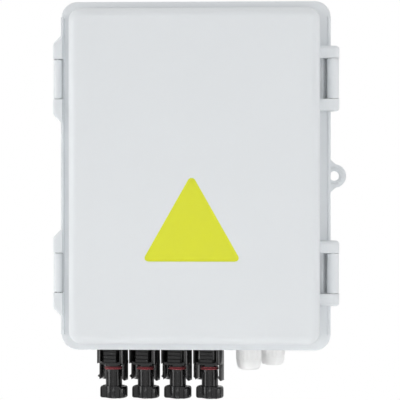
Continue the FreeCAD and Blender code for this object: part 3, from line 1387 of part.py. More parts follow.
def pin_connector(count, x):
    """A panel connector with an open shell and two windows for snap fingers."""
    name = "pin_connector_%d" % count
    body = new_body(name, x, "-sizes.back_row_depth", "-" + WALL_Z)
    profile = new_sketch(body, name + "_profile", "XZ_Plane")
    polygon(profile, stub_profile() + [
        ("sizes.body_radius", "-sizes.collar_height"),
        ("sizes.body_radius", "-sizes.shell_start + sizes.shell_radius - sizes.body_radius"),
        ("sizes.shell_radius", "-sizes.shell_start"),
        ("sizes.shell_radius", "-sizes.shell_length"),
        ("sizes.shell_inner_radius", "-sizes.shell_length"),
        ("sizes.shell_inner_radius", "-sizes.shell_floor"),
        ("0", "-sizes.shell_floor"),
    ])
    revolve(body, profile)
    windows = new_sketch(body, name + "_windows", "YZ_Plane")
    half = "(sizes.shell_window / 2)"
    rectangle(windows, "-" + half, half, "-sizes.shell_window_start - sizes.shell_window",
              "-sizes.shell_window_start")
    pocket(body, windows, "2 * sizes.shell_radius + 1", both=True)


def pin_cap(count, x):
    """The dust plug pushed into the mouth of a shell."""
    name = "pin_cap_%d" % count
    body = new_body(name, x, "-sizes.back_row_depth", "-" + WALL_Z)
    profile = new_sketch(body, name + "_profile", "XZ_Plane")
    plug = "(sizes.shell_inner_radius - sizes.running_clearance)"
    top = "(-sizes.shell_length + sizes.pin_cap_plug)"
    bottom = "(-sizes.shell_length - sizes.pin_cap_head)"
    polygon(profile, [
        ("0", top),
        ("%s - sizes.cap_edge" % plug, top),
        (plug, "%s - sizes.cap_edge" % top),
        (plug, "-sizes.shell_length"),
        ("sizes.shell_radius", "-sizes.shell_length"),
        ("sizes.shell_radius", "%s + sizes.cap_edge" % bottom),
        ("sizes.shell_radius - sizes.cap_edge", bottom),
        ("0", bottom),
    ])
    revolve(body, profile)


def connector_nuts():
    """The hexagon nuts that clamp the eight connectors from inside."""
    nuts = []
    for tag, (x, depth) in enumerate(INPUTS, start=1):
        outer = hexagon("nut_outer_%d" % tag, "sizes.nut_width", "sizes.nut_height",
                        x, "-" + depth, "-" + INNER_Z)
        bore = cylinder("nut_bore_%d" % tag, "sizes.stub_radius + sizes.running_clearance",
                        "sizes.nut_height", x, "-" + depth, "-" + INNER_Z)
        nuts.append(cut("connector_nut_%d" % tag, outer, bore))
    group("connector_nuts", nuts)


def gland(count, x, depth):
    """One cable gland: threaded body with its hexagon, dome nut and rubber insert."""
    name = "gland_body_%d" % count
    body = new_body(name, x, "-" + depth, "-" + WALL_Z)
    flats = new_sketch(body, name + "_hexagon", "XY_Plane", "-sizes.gland_hex_height")
    corners = [("sizes.gland_hex_width / 2 / cos(30) * cos(%d)" % angle,
                "sizes.gland_hex_width / 2 / cos(30) * sin(%d)" % angle)
               for angle in range(0, 360, 60)]
    pad(body, polygon(flats, corners), "sizes.gland_hex_height")
    inner = "(sizes.gland_seal_radius + sizes.running_clearance)"
    thread_end = "(-sizes.gland_nut_seam)"
    thread = new_sketch(body, name + "_thread", "XZ_Plane")
    top = "(sizes.wall + sizes.locknut_height + 1)"
    polygon(thread, [("0", top), ("sizes.gland_thread_radius", top),
                     ("sizes.gland_thread_radius", thread_end), ("0", thread_end)])
    revolve(body, thread)
    bore = new_sketch(body, name + "_bore", "XY_Plane", top)
    circle(bore, inner)
    pocket(body, bore, "%s - %s" % (top, thread_end))

    nut = new_body("gland_nut_%d" % count, x, "-" + depth, "-" + WALL_Z)
    section = new_sketch(nut, "gland_nut_%d_profile" % count, "XZ_Plane")
    thread_bore = "(sizes.gland_thread_radius + sizes.running_clearance)"
    polygon(section, [
        (thread_bore, "-sizes.gland_hex_height - sizes.seat_clearance"),
        ("sizes.gland_nut_radius", "-sizes.gland_hex_height - sizes.seat_clearance"),
        ("sizes.gland_nut_radius", thread_end),
        ("sizes.gland_shoulder_radius", "-sizes.gland_dome_end + 2.8"),
        ("sizes.gland_dome_radius", "-sizes.gland_dome_end + 1"),
        ("sizes.gland_mouth_radius", "-sizes.gland_dome_end"),
        (inner, "-sizes.gland_dome_end"),
        (inner, "%s - sizes.seat_clearance" % thread_end),
        (thread_bore, "%s - sizes.seat_clearance" % thread_end),
    ])
    revolve(nut, section)

    seal = new_body("gland_seal_%d" % count, x, "-" + depth, "-" + WALL_Z)
    ring = new_sketch(seal, "gland_seal_%d_profile" % count, "XZ_Plane")
    seal_bottom = "(-sizes.gland_dome_end + sizes.seat_clearance)"
    polygon(ring, [
        ("sizes.gland_bore_radius", seal_bottom),
        ("sizes.gland_seal_radius", seal_bottom),
        ("sizes.gland_seal_radius", "%s + sizes.gland_seal_length" % seal_bottom),
        ("sizes.gland_bore_radius", "%s + sizes.gland_seal_length" % seal_bottom),
    ])
    revolve(seal, ring)


def gland_locknuts():
    """The flat hexagon nuts that hold the glands from inside."""
    nuts = []
    for count, (x, depth) in enumerate(GLANDS, start=1):
        outer = hexagon("locknut_outer_%d" % count, "sizes.locknut_width", "sizes.locknut_height",
                        x, "-" + depth, "-" + INNER_Z)
        bore = cylinder("locknut_bore_%d" % count,
                        "sizes.gland_thread_radius + sizes.running_clearance",
                        "sizes.locknut_height", x, "-" + depth, "-" + INNER_Z)
        nuts.append(cut("gland_locknut_%d" % count, outer, bore))
    group("gland_locknuts", nuts)


def lead(name, route):
    """A round insulated wire: straight runs joined by tangent bends."""
    points = [Vector(*(number(value) for value in point)) for point in route]
    bend = number("sizes.lead_bend_radius")
    radius = number("sizes.lead_radius")
    pieces = []
    length = 0.0
    start = points[0]
    for before, corner, after in zip(points, points[1:], points[2:]):
        inward = (before - corner).normalize()
        outward = (after - corner).normalize()
        half_opening = inward.getAngle(outward) / 2
        tangent = bend / math.tan(half_opening)
        entry = corner + inward * tangent
        leave = corner + outward * tangent
        centre = corner + (inward + outward).normalize() * (bend / math.sin(half_opening))
        turn = math.pi - 2 * half_opening
        pieces.append(run_of_wire(start, entry, radius))
        section = Part.Face(Part.Wire([Part.Circle(entry, -inward, radius).toShape()]))
        axis = inward.cross(outward).normalize()
        pieces.append(section.revolve(centre, -axis, math.degrees(turn)))
        length += (entry - start).Length + bend * turn
        start = leave
    pieces.append(run_of_wire(start, points[-1], radius))
    length += (points[-1] - start).Length
    shape = pieces[0].multiFuse(pieces[1:]).removeSplitter()
    if abs(shape.Volume / (length * math.pi * radius ** 2) - 1) > 0.01:
        raise RuntimeError(name + " is not a clean tube")
    item = doc.addObject("Part::Feature", name)
    item.Shape = shape
    return item


def run_of_wire(start, end, radius):
    """One straight run of a wire."""
    section = Part.Face(Part.Wire([Part.Circle(start, end - start, radius).toShape()]))
    return section.extrude(end - start)


def positive_leads():
    """One wire from each front connector up to its fuse holder."""
    start = "(-%s + sizes.stub_length - sizes.lead_insert)" % WALL_Z
    rise = "(%s + sizes.lead_run)" % start
    finish_z = "(%s + 0.75 * sizes.terminal_depth)" % MODULE_BOTTOM
    for count, (x, fuse_x) in enumerate(zip(CONNECTOR_X, FUSE_X), start=1):
        wire = lead("positive_lead_%d" % count, [
            (x, "-sizes.front_row_depth", start),
            (x, "-sizes.front_row_depth", rise),
            (fuse_x, TERMINAL_Y, "%s - sizes.lead_run" % MODULE_BOTTOM),
            (fuse_x, TERMINAL_Y, finish_z),
        ])
        finish(wire, "positive_lead_%d" % count)


def negative_leads():
    """One wire from each back connector up to the brass bar."""
    start = "(-%s + sizes.stub_length - sizes.lead_insert)" % WALL_Z
    rise = "(%s + sizes.lead_run)" % start
    wires = []
    for count, (x, bar_x) in enumerate(zip(BACK_ROW_X, bar_screw_places()), start=1):
        wires.append(lead("negative_lead_%d" % count, [
            (x, "-sizes.back_row_depth", start),
            (x, "-sizes.back_row_depth", rise),
            (bar_x, BAR_Y, "%s - sizes.lead_run" % BAR_BOTTOM),
            (bar_x, BAR_Y, BAR_Z),
        ]))
    group("negative_leads", wires)


def negative_link():
    """The wire from the brass bar round to the breaker's second pole."""
    pole = "(%s + sizes.module_pitch / 2)" % BREAKER_X
    start_x = bar_screw_places()[-1]
    low = "(%s - 1.5 * sizes.lead_run)" % BAR_BOTTOM
    wire = lead("negative_link", [
        (start_x, BAR_Y, BAR_Z),
        (start_x, BAR_Y, low),
        (pole, "(%s + %s) / 2" % (BAR_Y, TERMINAL_Y), low),
        (pole, TERMINAL_Y, "%s - sizes.lead_run" % MODULE_BOTTOM),
        (pole, TERMINAL_Y, "%s + 0.75 * sizes.terminal_depth" % MODULE_BOTTOM),
    ])
    finish(wire, "negative_link")


def build():
    """Make every sub-part, from the case inwards."""
    base_shell()
    hinge_pins()
    lid_shell()
    lid_gasket()
    latch_pins()
    latch_lever("latch_lever_upper", 1)
    latch_lever("latch_lever_lower", -1)
    din_rail()
    rail_screws()
    for count, x in enumerate(FUSE_X, start=1):
        fuse_base(count, x)
        fuse_carrier(count, x)
        fuse_link(count, x)
    breaker_case()
    breaker_toggle()
    surge_protector()
    terminal_screws()
    comb_busbar()
    negative_bar()
    for count, (front_x, back_x) in enumerate(zip(CONNECTOR_X, BACK_ROW_X), start=1):
        socket_connector(count, front_x)
        socket_cap(count, front_x)
        pin_connector(count, back_x)
        pin_cap(count, back_x)
    seal_rings()
    connector_nuts()
    for count, (x, depth) in enumerate(GLANDS, start=1):
        gland(count, x, depth)
    gland_locknuts()
    positive_leads()
    negative_leads()
    negative_link()
    doc.recompute()


def check_document():
    """Stop if any object failed or any sub-part is not a sound solid."""
    for item in doc.Objects:
        if item.isDerivedFrom("Sketcher::SketchObject") and not item.FullyConstrained:
            raise RuntimeError(item.Name + " is not fully constrained")
        if "Invalid" in item.State or "Error" in item.State:
            raise RuntimeError("%s failed: %s" % (item.Name, item.State))
    for piece in finished:
        if piece.Shape.isNull() or not piece.Shape.isValid() or not piece.Shape.Solids:
            raise RuntimeError(piece.Label + " is not a sound solid")


def write_parts():
    """Write each sub-part to its own file."""
    os.makedirs("parts", exist_ok=True)
    for piece in finished:
        piece.Shape.exportStep("parts/%s.step" % piece.Label)
        print(piece.Label, len(piece.Shape.Solids), round(piece.Shape.Volume, 1))


build()
check_document()
write_parts()
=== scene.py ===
import json
import math

import bpy
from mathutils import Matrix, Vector


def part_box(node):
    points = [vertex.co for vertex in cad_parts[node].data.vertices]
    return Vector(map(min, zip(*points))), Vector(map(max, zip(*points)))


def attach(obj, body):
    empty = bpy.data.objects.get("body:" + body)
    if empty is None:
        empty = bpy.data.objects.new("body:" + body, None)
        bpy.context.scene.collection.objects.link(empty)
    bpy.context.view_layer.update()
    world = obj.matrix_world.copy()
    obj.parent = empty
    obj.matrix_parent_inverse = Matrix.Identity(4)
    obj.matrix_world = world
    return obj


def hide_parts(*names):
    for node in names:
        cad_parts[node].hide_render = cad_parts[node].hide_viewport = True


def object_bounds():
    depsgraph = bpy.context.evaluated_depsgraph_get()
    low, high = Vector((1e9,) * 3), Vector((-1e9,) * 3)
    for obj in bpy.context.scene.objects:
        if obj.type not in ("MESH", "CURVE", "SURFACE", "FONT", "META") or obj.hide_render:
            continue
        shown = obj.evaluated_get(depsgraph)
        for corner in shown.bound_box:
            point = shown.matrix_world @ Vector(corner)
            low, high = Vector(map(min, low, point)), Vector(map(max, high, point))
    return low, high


bl_info = {
    "name": "Solar Combiner Box",
    "version": (1, 0, 0),
    "blender": (4, 5, 0),
    "location": "View3D > Sidebar > Combiner Box",
    "description": "Finishes and moulded details for the solar combiner box",
    "category": "Object",
}

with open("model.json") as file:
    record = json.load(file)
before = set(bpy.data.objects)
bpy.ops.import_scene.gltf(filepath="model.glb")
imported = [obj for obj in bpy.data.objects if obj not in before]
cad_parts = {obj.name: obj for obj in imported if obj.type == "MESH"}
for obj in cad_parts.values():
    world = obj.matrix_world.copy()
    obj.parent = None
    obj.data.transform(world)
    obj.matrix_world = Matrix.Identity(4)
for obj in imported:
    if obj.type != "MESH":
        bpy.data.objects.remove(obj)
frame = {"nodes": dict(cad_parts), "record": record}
CAD_BOX = [list(corner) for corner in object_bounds()]
NODES = frame["nodes"]

# Shapes are written in millimetres. Blender's unit is the metre.
MM = 0.001
SIDES = (-1, 1)
# Degrees about X, Y and Z. The second turns a piece's Z axis to the front.
UNTURNED = (0, 0, 0)
FORWARD = (90, 0, 0)
# Faces round a turned piece
COARSE, ROUND, FINE, FINEST = 32, 48, 64, 72

# Planes and places of the solids, in millimetres
STUB_TOP = 11.5
HALF_POLE = 8.75
DRAWER_FRONT = -69.5
MODULE_FRONT = -68.5
EAR_CENTRE = 90.25
EAR_FRONT = -5.0
EAR_THICKNESS = 4.0
SIGN_CENTRE = -1.2
SIGN_TOP = 1.5
SIGN_RECESS = 0.4
HANDLE_PIVOT = -63.0
# Degrees that the breaker's handle leans by
HANDLE_LEAN = -36


# Places read from the frame, in metres

def middle(node):
    low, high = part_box(node)
    return (low + high) / 2


def row(node, count=4):
    """The middles of nodes that are numbered from 1."""
    return [middle(node % number) for number in range(1, count + 1)]


def under_wall(centres):
    """Where the pieces of a row meet the underside of the box."""
    return [(centre.x, centre.y, WALL_UNDERSIDE) for centre in centres]


def poles(node):
    """Where the two poles of a module stand on the rail."""
    return [(middle(node).x + side * HALF_POLE * MM, 0, 0) for side in SIDES]


LID_FRONT, LOWEST = CAD_BOX[0][1:]
WALL_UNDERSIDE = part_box("socket_connector_1")[1].z - STUB_TOP * MM
SOCKETS = under_wall(row("socket_cap_%d"))
SHELLS = under_wall(row("pin_cap_%d"))
GLANDS = under_wall(row("gland_nut_%d", 2))
DRAWERS = [(centre.x, 0, 0) for centre in row("fuse_base_%d")]
BREAKER = middle("breaker_case")
BREAKER_POLES = poles("breaker_case")
SURGE_POLES = poles("surge_protector")
TERMINAL_SCREWS = [(place[0], -52.55 * MM, height * MM)
                   for place in DRAWERS + BREAKER_POLES + SURGE_POLES
                   for height in (51.5, -15.5)]
RAIL_SCREWS = [(across * MM, -7.4 * MM, 18 * MM) for across in (-50, 50)]
BAR_SCREWS = [(across * MM, -22 * MM, -52.5 * MM) for across in range(-54, 7, 12)]


# Selecting and shaping

def deselect():
    bpy.ops.object.select_all(action="DESELECT")


def activate(piece):
    deselect()
    piece.select_set(True)
    bpy.context.view_layer.objects.active = piece


def edit(piece, mode="FACE", action="DESELECT"):
    """Open a piece in edit mode with nothing picked, or all of it."""
    activate(piece)
    bpy.ops.object.mode_set(mode="EDIT")
    bpy.ops.mesh.select_mode(type=mode)
    bpy.ops.mesh.select_all(action=action)


def close_edit():
    bpy.ops.object.mode_set(mode="OBJECT")


def pick(piece, kind, wanted):
    """Open a piece in edit mode with the polygons or vertices picked that a test accepts."""
    edit(piece, "FACE" if kind == "polygons" else "VERT")
    close_edit()
    elements = getattr(piece.data, kind)
    for element in elements:
        element.select = bool(wanted(element))
    if not any(element.select for element in elements):
        raise RuntimeError("no %s of %s were picked" % (kind, piece.name))
    bpy.ops.object.mode_set(mode="EDIT")


def move_points(piece, wanted, shift):
    """Move the corners that a test on their place accepts, all in millimetres."""
    pick(piece, "vertices", lambda corner: wanted(corner.co / MM))
    bpy.ops.transform.translate(value=Vector(shift) * MM)
    close_edit()


def flute(piece, wanted, inset, depth, together=False):
    """Sink or raise each face that a test on centre and normal accepts, in millimetres."""
    pick(piece, "polygons", lambda face: wanted(face.center / MM, face.normal))
    bpy.ops.mesh.inset(thickness=inset * MM, depth=depth * MM, use_individual=not together)
    close_edit()


def slice_at(piece, axis, levels):
    """Cut lines round a piece at levels along an axis, in millimetres."""
    edit(piece)
    normal = Vector([letter == axis for letter in "XYZ"])
    for level in levels:
        bpy.ops.mesh.select_all(action="SELECT")
        bpy.ops.mesh.bisect(plane_co=normal * level * MM, plane_no=normal)
    close_edit()


def carve(piece, cutter):
    """Cut another piece's shape out of this one."""
    activate(piece)
    cut = piece.modifiers.new("Cut", "BOOLEAN")
    cut.operation = "DIFFERENCE"
    cut.solver = "EXACT"
    cut.object = cutter
    bpy.ops.object.modifier_apply(modifier=cut.name)
    bpy.data.meshes.remove(cutter.data)


def set_place(piece):
    """Put a piece's place, turn and size into its mesh."""
    activate(piece)
    bpy.ops.object.transform_apply(location=True, rotation=True, scale=True)


def recalculate(piece):
    """Merge the corners that coincide and turn the faces outwards."""
    edit(piece, action="SELECT")
    bpy.ops.mesh.remove_doubles(threshold=0.002 * MM)
    bpy.ops.mesh.normals_make_consistent(inside=False)
    close_edit()


def smooth(piece, angle=35):
    activate(piece)
    bpy.ops.object.shade_smooth_by_angle(angle=math.radians(angle))


def soften(piece, width, segments=2):
    """Round the sharp edges by a width in millimetres and shade the piece smooth."""
    activate(piece)
    rounding = piece.modifiers.new("Rounding", "BEVEL")
    rounding.width = width * MM
    rounding.segments = segments
    rounding.limit_method = "ANGLE"
    rounding.angle_limit = math.radians(40)
    bpy.ops.object.modifier_apply(modifier=rounding.name)
    smooth(piece)


def block(name, corner, opposite, rounding=0):
    """A box between two corners, its edges rounded where asked, all in millimetres."""
    corner, opposite = Vector(corner) * MM, Vector(opposite) * MM
    deselect()
    bpy.ops.mesh.primitive_cube_add(size=1, location=(corner + opposite) / 2)
    piece = bpy.context.object
    piece.name = name
    piece.scale = [abs(length) for length in opposite - corner]
    set_place(piece)
    if rounding:
        soften(piece, rounding)
    return piece


def turned(name, rings, vertices=ROUND, turn=0, closed=False):
    """A turned piece: a ring extruded and resized through (radius, height) steps.

    The steps are in millimetres, the axis is Z, and a closed one ends where it began.
    """
    deselect()
    radius, height = rings[0]
    bpy.ops.mesh.primitive_circle_add(
        vertices=vertices, radius=radius * MM, location=(0, 0, height * MM),
        rotation=(0, 0, math.radians(turn)))
    piece = bpy.context.object
    piece.name = name
    set_place(piece)
    edit(piece, "EDGE", "SELECT")
    for next_radius, next_height in rings[1:] + (rings[:1] if closed else []):
        bpy.ops.mesh.extrude_region_move(
            TRANSFORM_OT_translate={"value": (0, 0, (next_height - height) * MM)})
        ratio = next_radius / radius
        if abs(ratio - 1) > 0.0001:
            bpy.ops.transform.resize(value=(ratio, ratio, 1),
                                     center_override=(0, 0, next_height * MM))
        radius, height = next_radius, next_height
    if not closed:
        bpy.ops.mesh.edge_face_add()
        bpy.ops.mesh.select_all(action="DESELECT")
        bpy.ops.mesh.select_non_manifold(extend=False, use_wire=False, use_boundary=True,
                                         use_multi_face=False, use_non_contiguous=False,
                                         use_verts=False)
        bpy.ops.mesh.edge_face_add()
    close_edit()
    recalculate(piece)
    return piece


def thread(top, bottom, radius, pitch=1.2, depth=0.45):
    """The steps of a thread's crests and roots between two heights."""
    count = int((top - bottom) / pitch)
    steps = []
    for turn in range(count):
        steps += [(radius, top - turn * pitch), (radius - depth, top - (turn + 0.5) * pitch)]
    return steps + [(radius, top - count * pitch)]


def band(low, high, count, radius=0):
    """A test for every other of count upright faces, between two heights and past a radius."""
    def wanted(centre, normal):
        turn = math.degrees(math.atan2(centre.y, centre.x)) / (360 / count)
        return (low < centre.z < high and centre.xy.length > radius
                and abs(normal.z) < 0.1 and round(turn - 0.5) % 2 == 0)
    return wanted


def front_face(centre, normal):
    return normal.y < -0.99


def move(piece, place, turn=UNTURNED):
    """Turn a piece by degrees, set it down at a place in metres and keep that in its mesh."""
    piece.rotation_euler = [math.radians(angle) for angle in turn]
    piece.location = place
    set_place(piece)
    return piece


def join(name, pieces):
    """Join several pieces into one, named after what they make."""
    whole = pieces[0]
    activate(whole)
    for piece in pieces:
        piece.select_set(True)
    bpy.ops.object.join()
    whole.name = name
    return whole


def copies(piece, name, places, turn=UNTURNED):
    """Copies of one piece, each with its own mesh, in place of the first."""
    made = []
    for count, place in enumerate(places, start=1):
        activate(piece)
        bpy.ops.object.duplicate(linked=False)
        twin = bpy.context.object
        twin.name = "%s_%d" % (name, count)
        made.append(move(twin, place, turn))
    bpy.data.meshes.remove(piece.data)
    return made


def finish_piece(piece, material, node=None, body="enclosure"):
    """Give a piece its material and its body, and hide the CAD node that it stands for."""
    piece.data.materials.clear()
    piece.data.materials.append(bpy.data.materials[material])
    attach(piece, body)
    if node:
        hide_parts(node)


def finish_copies(piece, name, places, material, node="", body="enclosure",
                  turn=UNTURNED):
    """Finish a copy at each place. Its number stands in for # in the node and the body."""
    for count, twin in enumerate(copies(piece, name, places, turn), start=1):
        number = str(count)
        finish_piece(twin, material, node.replace("#", number),
                     body.replace("#", number))


def finish_set(piece, name, places, material, node=None, turn=UNTURNED):
    """Finish copies at all the places as one joined piece."""
    finish_piece(join(name, copies(piece, name, places, turn)), material, node)


# Shader groups that several materials share

def feed(tree, socket, value):
    """Set a socket to a number, or link another socket to it."""
    if isinstance(value, (int, float)):
        socket.default_value = value
    else:
        tree.links.new(value, socket)


def new_group(name, numbers, outputs):
    """A group that takes a vector and some numbers, with their defaults."""
    group = bpy.data.node_groups.new(name, "ShaderNodeTree")
    add = group.interface.new_socket
    add(name="Vector", in_out="INPUT", socket_type="NodeSocketVector")
    for label, value in numbers.items():
        add(name=label, in_out="INPUT", socket_type="NodeSocketFloat").default_value = value
    for label in outputs:
        add(name=label, in_out="OUTPUT", socket_type="NodeSocketFloat")
    source = group.nodes.new("NodeGroupInput")
    target = group.nodes.new("NodeGroupOutput")
    return group, source.outputs, target.inputs


def math_node(tree, kind, first, second, clamp=False):
    node = tree.nodes.new("ShaderNodeMath")
    node.operation = kind
    node.use_clamp = clamp
    feed(tree, node.inputs[0], first)
    feed(tree, node.inputs[1], second)
    return node.outputs[0]


def noise_node(tree, vector, scale, detail, roughness=0.5):
    node = tree.nodes.new("ShaderNodeTexNoise")
    for label, value in (("Vector", vector), ("Scale", scale), ("Detail", detail),
                         ("Roughness", roughness)):
        feed(tree, node.inputs[label], value)
    return node.outputs["Fac"]


def grain_group():
    """Fine spark-eroded grain, with slow flow marks that shift the tone a little."""
    group, given, result = new_group(
        "Moulded grain", {"Grain Scale": 1500, "Flow Scale": 14, "Flow Amount": 0.5},
        ("Height", "Tone"))
    fine = noise_node(group, given["Vector"], given["Grain Scale"], 3, 0.6)
    pits = group.nodes.new("ShaderNodeTexVoronoi")
    group.links.new(given["Vector"], pits.inputs["Vector"])
    group.links.new(given["Grain Scale"], pits.inputs["Scale"])
    height = math_node(group, "MULTIPLY_ADD", pits.outputs["Distance"], 0.6)
    group.links.new(fine, height.node.inputs[2])
    slow = noise_node(group, given["Vector"], given["Flow Scale"], 4, 0.55)
    centred = math_node(group, "SUBTRACT", slow, 0.5)
    tone = math_node(group, "MULTIPLY", centred, given["Flow Amount"])
    tone = math_node(group, "ADD", tone, 0.5, clamp=True)
    group.links.new(height, result["Height"])
    group.links.new(tone, result["Tone"])


def dust_group():
    """A light film of dust on the faces that look up."""
    group, given, result = new_group("Settled dust", {"Amount": 0.2}, ("Mask",))
    geometry = group.nodes.new("ShaderNodeNewGeometry")
    split = group.nodes.new("ShaderNodeSeparateXYZ")
    group.links.new(geometry.outputs["Normal"], split.inputs[0])
    upward = math_node(group, "SUBTRACT", split.outputs["Z"], 0.55)
    upward = math_node(group, "MULTIPLY", upward, 2.2, clamp=True)
    patches = noise_node(group, given["Vector"], 60, 5, 0.65)
    patches = math_node(group, "SUBTRACT", patches, 0.25)
    film = math_node(group, "MULTIPLY", upward, patches, clamp=True)
    film = math_node(group, "MULTIPLY", film, given["Amount"], clamp=True)
    group.links.new(film, result["Mask"])


def brush_group():
    """Drawn or rolled metal: fine lines along one axis, and dull spots."""
    group, given, result = new_group("Drawn lines", {"Line Scale": 900}, ("Height", "Spots"))
    stretch = group.nodes.new("ShaderNodeMapping")
    stretch.inputs["Scale"].default_value = (0.04, 1, 1)
    group.links.new(given["Vector"], stretch.inputs["Vector"])
    lines = noise_node(group, stretch.outputs["Vector"], given["Line Scale"], 3, 0.7)
    spots = noise_node(group, given["Vector"], 90, 4, 0.6)
    group.links.new(lines, result["Height"])
    group.links.new(spots, result["Spots"])


# Materials

WHITE = (1, 1, 1, 1)
PALE_DUST = (0.62, 0.6, 0.56, 1)
GREY_DUST = (0.5, 0.48, 0.45, 1)


def shade(colour, factor):
    return [min(1, channel * factor) for channel in colour[:3]] + [1]


def new_material(name):
    material = bpy.data.materials.new(name)
    material.use_nodes = True
    tree = material.node_tree
    places = tree.nodes.new("ShaderNodeTexCoord")
    return tree, tree.nodes["Principled BSDF"], places.outputs["Object"]


def place_group(tree, name, vector, **values):
    node = tree.nodes.new("ShaderNodeGroup")
    node.node_tree = bpy.data.node_groups[name]
    tree.links.new(vector, node.inputs["Vector"])
    for label, value in values.items():
        node.inputs[label.replace("_", " ")].default_value = value
    return node.outputs


def add_bump(tree, shader, height, micrometres):
    bump = tree.nodes.new("ShaderNodeBump")
    bump.inputs["Distance"].default_value = micrometres / 1000000
    bump.inputs["Strength"].default_value = 1.0
    tree.links.new(height, bump.inputs["Height"])
    tree.links.new(bump.outputs["Normal"], shader.inputs["Normal"])


def ramp_between(tree, factor, low, high, low_at=0, high_at=1):
    ramp = tree.nodes.new("ShaderNodeValToRGB")
    for stop, colour, place in zip(ramp.color_ramp.elements, (low, high), (low_at, high_at)):
        stop.color = colour
        stop.position = place
    tree.links.new(factor, ramp.inputs["Fac"])
    return ramp.outputs["Color"]


def rough_between(tree, shader, factor, low, high):
    spread = tree.nodes.new("ShaderNodeMapRange")
    spread.inputs["To Min"].default_value = low
    spread.inputs["To Max"].default_value = high
    tree.links.new(factor, spread.inputs["Value"])
    tree.links.new(spread.outputs["Result"], shader.inputs["Roughness"])


def plastic(name, colour, rough, grain, depth, tone, dust, dust_colour=PALE_DUST,
            gloss=0.45, sheen=0, flow=14, rough_spread=0.05):
    """Moulded plastic: flow marks, a little dust, and a grain some micrometres in depth."""
    tree, shader, places = new_material(name)
    mould = place_group(tree, "Moulded grain", places, Grain_Scale=grain, Flow_Scale=flow)
    body = ramp_between(tree, mould["Tone"], shade(colour, 1 - tone), shade(colour, 1 + tone))
    film = place_group(tree, "Settled dust", places, Amount=dust)
    mix = tree.nodes.new("ShaderNodeMix")
    mix.data_type = "RGBA"
    mix.inputs["B"].default_value = dust_colour
    tree.links.new(film["Mask"], mix.inputs["Factor"])
    tree.links.new(body, mix.inputs["A"])
    tree.links.new(mix.outputs["Result"], shader.inputs["Base Color"])
    rough_between(tree, shader, mould["Tone"], rough + rough_spread, rough - rough_spread)
    shader.inputs["Specular IOR Level"].default_value = gloss
    shader.inputs["Sheen Weight"].default_value = sheen
    add_bump(tree, shader, mould["Height"], depth)


def rubber(name, colour, rough, grain=2600, depth=10):
    """Rubber, foam or wire insulation: soft, with a chalky sheen."""
    plastic(name, colour, rough, grain, depth, tone=0.12, dust=0.12, dust_colour=GREY_DUST,
            gloss=0.5, sheen=0.15, flow=60, rough_spread=0.08)


def sign_paint(name, colour):
    """Enamel on a plate: even and glossy, with the faintest flow marks."""
    tree, shader, places = new_material(name)
    mould = place_group(tree, "Moulded grain", places, Grain_Scale=800, Flow_Scale=40)
    body = ramp_between(tree, mould["Tone"], shade(colour, 0.97), shade(colour, 1.03))
    tree.links.new(body, shader.inputs["Base Color"])
    rough_between(tree, shader, mould["Tone"], 0.4, 0.28)
    shader.inputs["Specular IOR Level"].default_value = 0.35
    add_bump(tree, shader, mould["Height"], 4)


def metal(name, colour, rough, dull):
    """Bare or plated metal with drawn lines and dull spots."""
    tree, shader, places = new_material(name)
    drawn = place_group(tree, "Drawn lines", places)
    tint = ramp_between(tree, drawn["Spots"], shade(colour, dull), shade(colour, 1), 0.3, 0.62)
    tree.links.new(tint, shader.inputs["Base Color"])
    rough_between(tree, shader, drawn["Spots"], rough + 0.14, rough - 0.04)
    shader.inputs["Metallic"].default_value = 1.0
    add_bump(tree, shader, drawn["Height"], 4)


# What a user would change

class StageSettings(bpy.types.PropertyGroup):
    """Floor, lamps and camera."""

    floor_drop: bpy.props.FloatProperty(
        name="Floor Drop", description="How far the floor lies under the lowest cap",
        default=0.85, min=0, unit="LENGTH")
    soft_light: bpy.props.FloatProperty(
        name="Soft Light", description="Strength of the even light from all round",
        default=0.523, min=0)
    lamp_level: bpy.props.FloatProperty(
        name="Lamp Level", description="One number that turns all the lamps up or down",
        default=1, min=0)
    lens: bpy.props.FloatProperty(
        name="Lens", description="Focal length of the camera in millimetres",
        default=128, min=10)
    camera_shift_right: bpy.props.FloatProperty(
        name="Shift Right", description="How far the box stands right of straight ahead",
        default=0.1)
    camera_shift_down: bpy.props.FloatProperty(
        name="Shift Down", description="How far the frame reaches below straight ahead",
        default=0.03)


class FinishSettings(bpy.types.PropertyGroup):
    """Colours of the plastics and the sign plate."""

    case: bpy.props.FloatVectorProperty(
        name="Housing", description="Colour of the housing, lid and latches",
        default=(0.74, 0.765, 0.785), subtype="COLOR", min=0, max=1)
    plate: bpy.props.FloatVectorProperty(
        name="Sign Plate", description="Colour of the bare plate on the lid",
        default=(0.677, 0.707, 0.012), subtype="COLOR", min=0, max=1)
    connector: bpy.props.FloatVectorProperty(
        name="Connectors", description="Colour of the string connectors and their caps",
        default=(0.005, 0.005, 0.0055), subtype="COLOR", min=0, max=1)
    gland: bpy.props.FloatVectorProperty(
        name="Glands", description="Colour of the cable glands",
        default=(0.89, 0.89, 0.885), subtype="COLOR", min=0, max=1)
    module: bpy.props.FloatVectorProperty(
        name="Modules", description="Colour of the fuse holders, breaker and surge protector",
        default=(0.76, 0.77, 0.76), subtype="COLOR", min=0, max=1)
    handle: bpy.props.FloatVectorProperty(
        name="Handles", description="Colour of the breaker's handle and marks",
        default=(0.05, 0.05, 0.055), subtype="COLOR", min=0, max=1)


class SizeSettings(bpy.types.PropertyGroup):
    """Sizes of the pieces that are modelled here."""

    sign_width: bpy.props.FloatProperty(
        name="Sign Width", description="Width of the bare plate on the lid",
        default=0.0616, min=0, unit="LENGTH")
    sign_height: bpy.props.FloatProperty(
        name="Sign Height", description="Height of the bare plate on the lid, corner to edge",
        default=0.0543, min=0, unit="LENGTH")
    connector_turn: bpy.props.FloatProperty(
        name="Connector Turn", description="Degrees that the front connectors are turned by",
        default=-20)


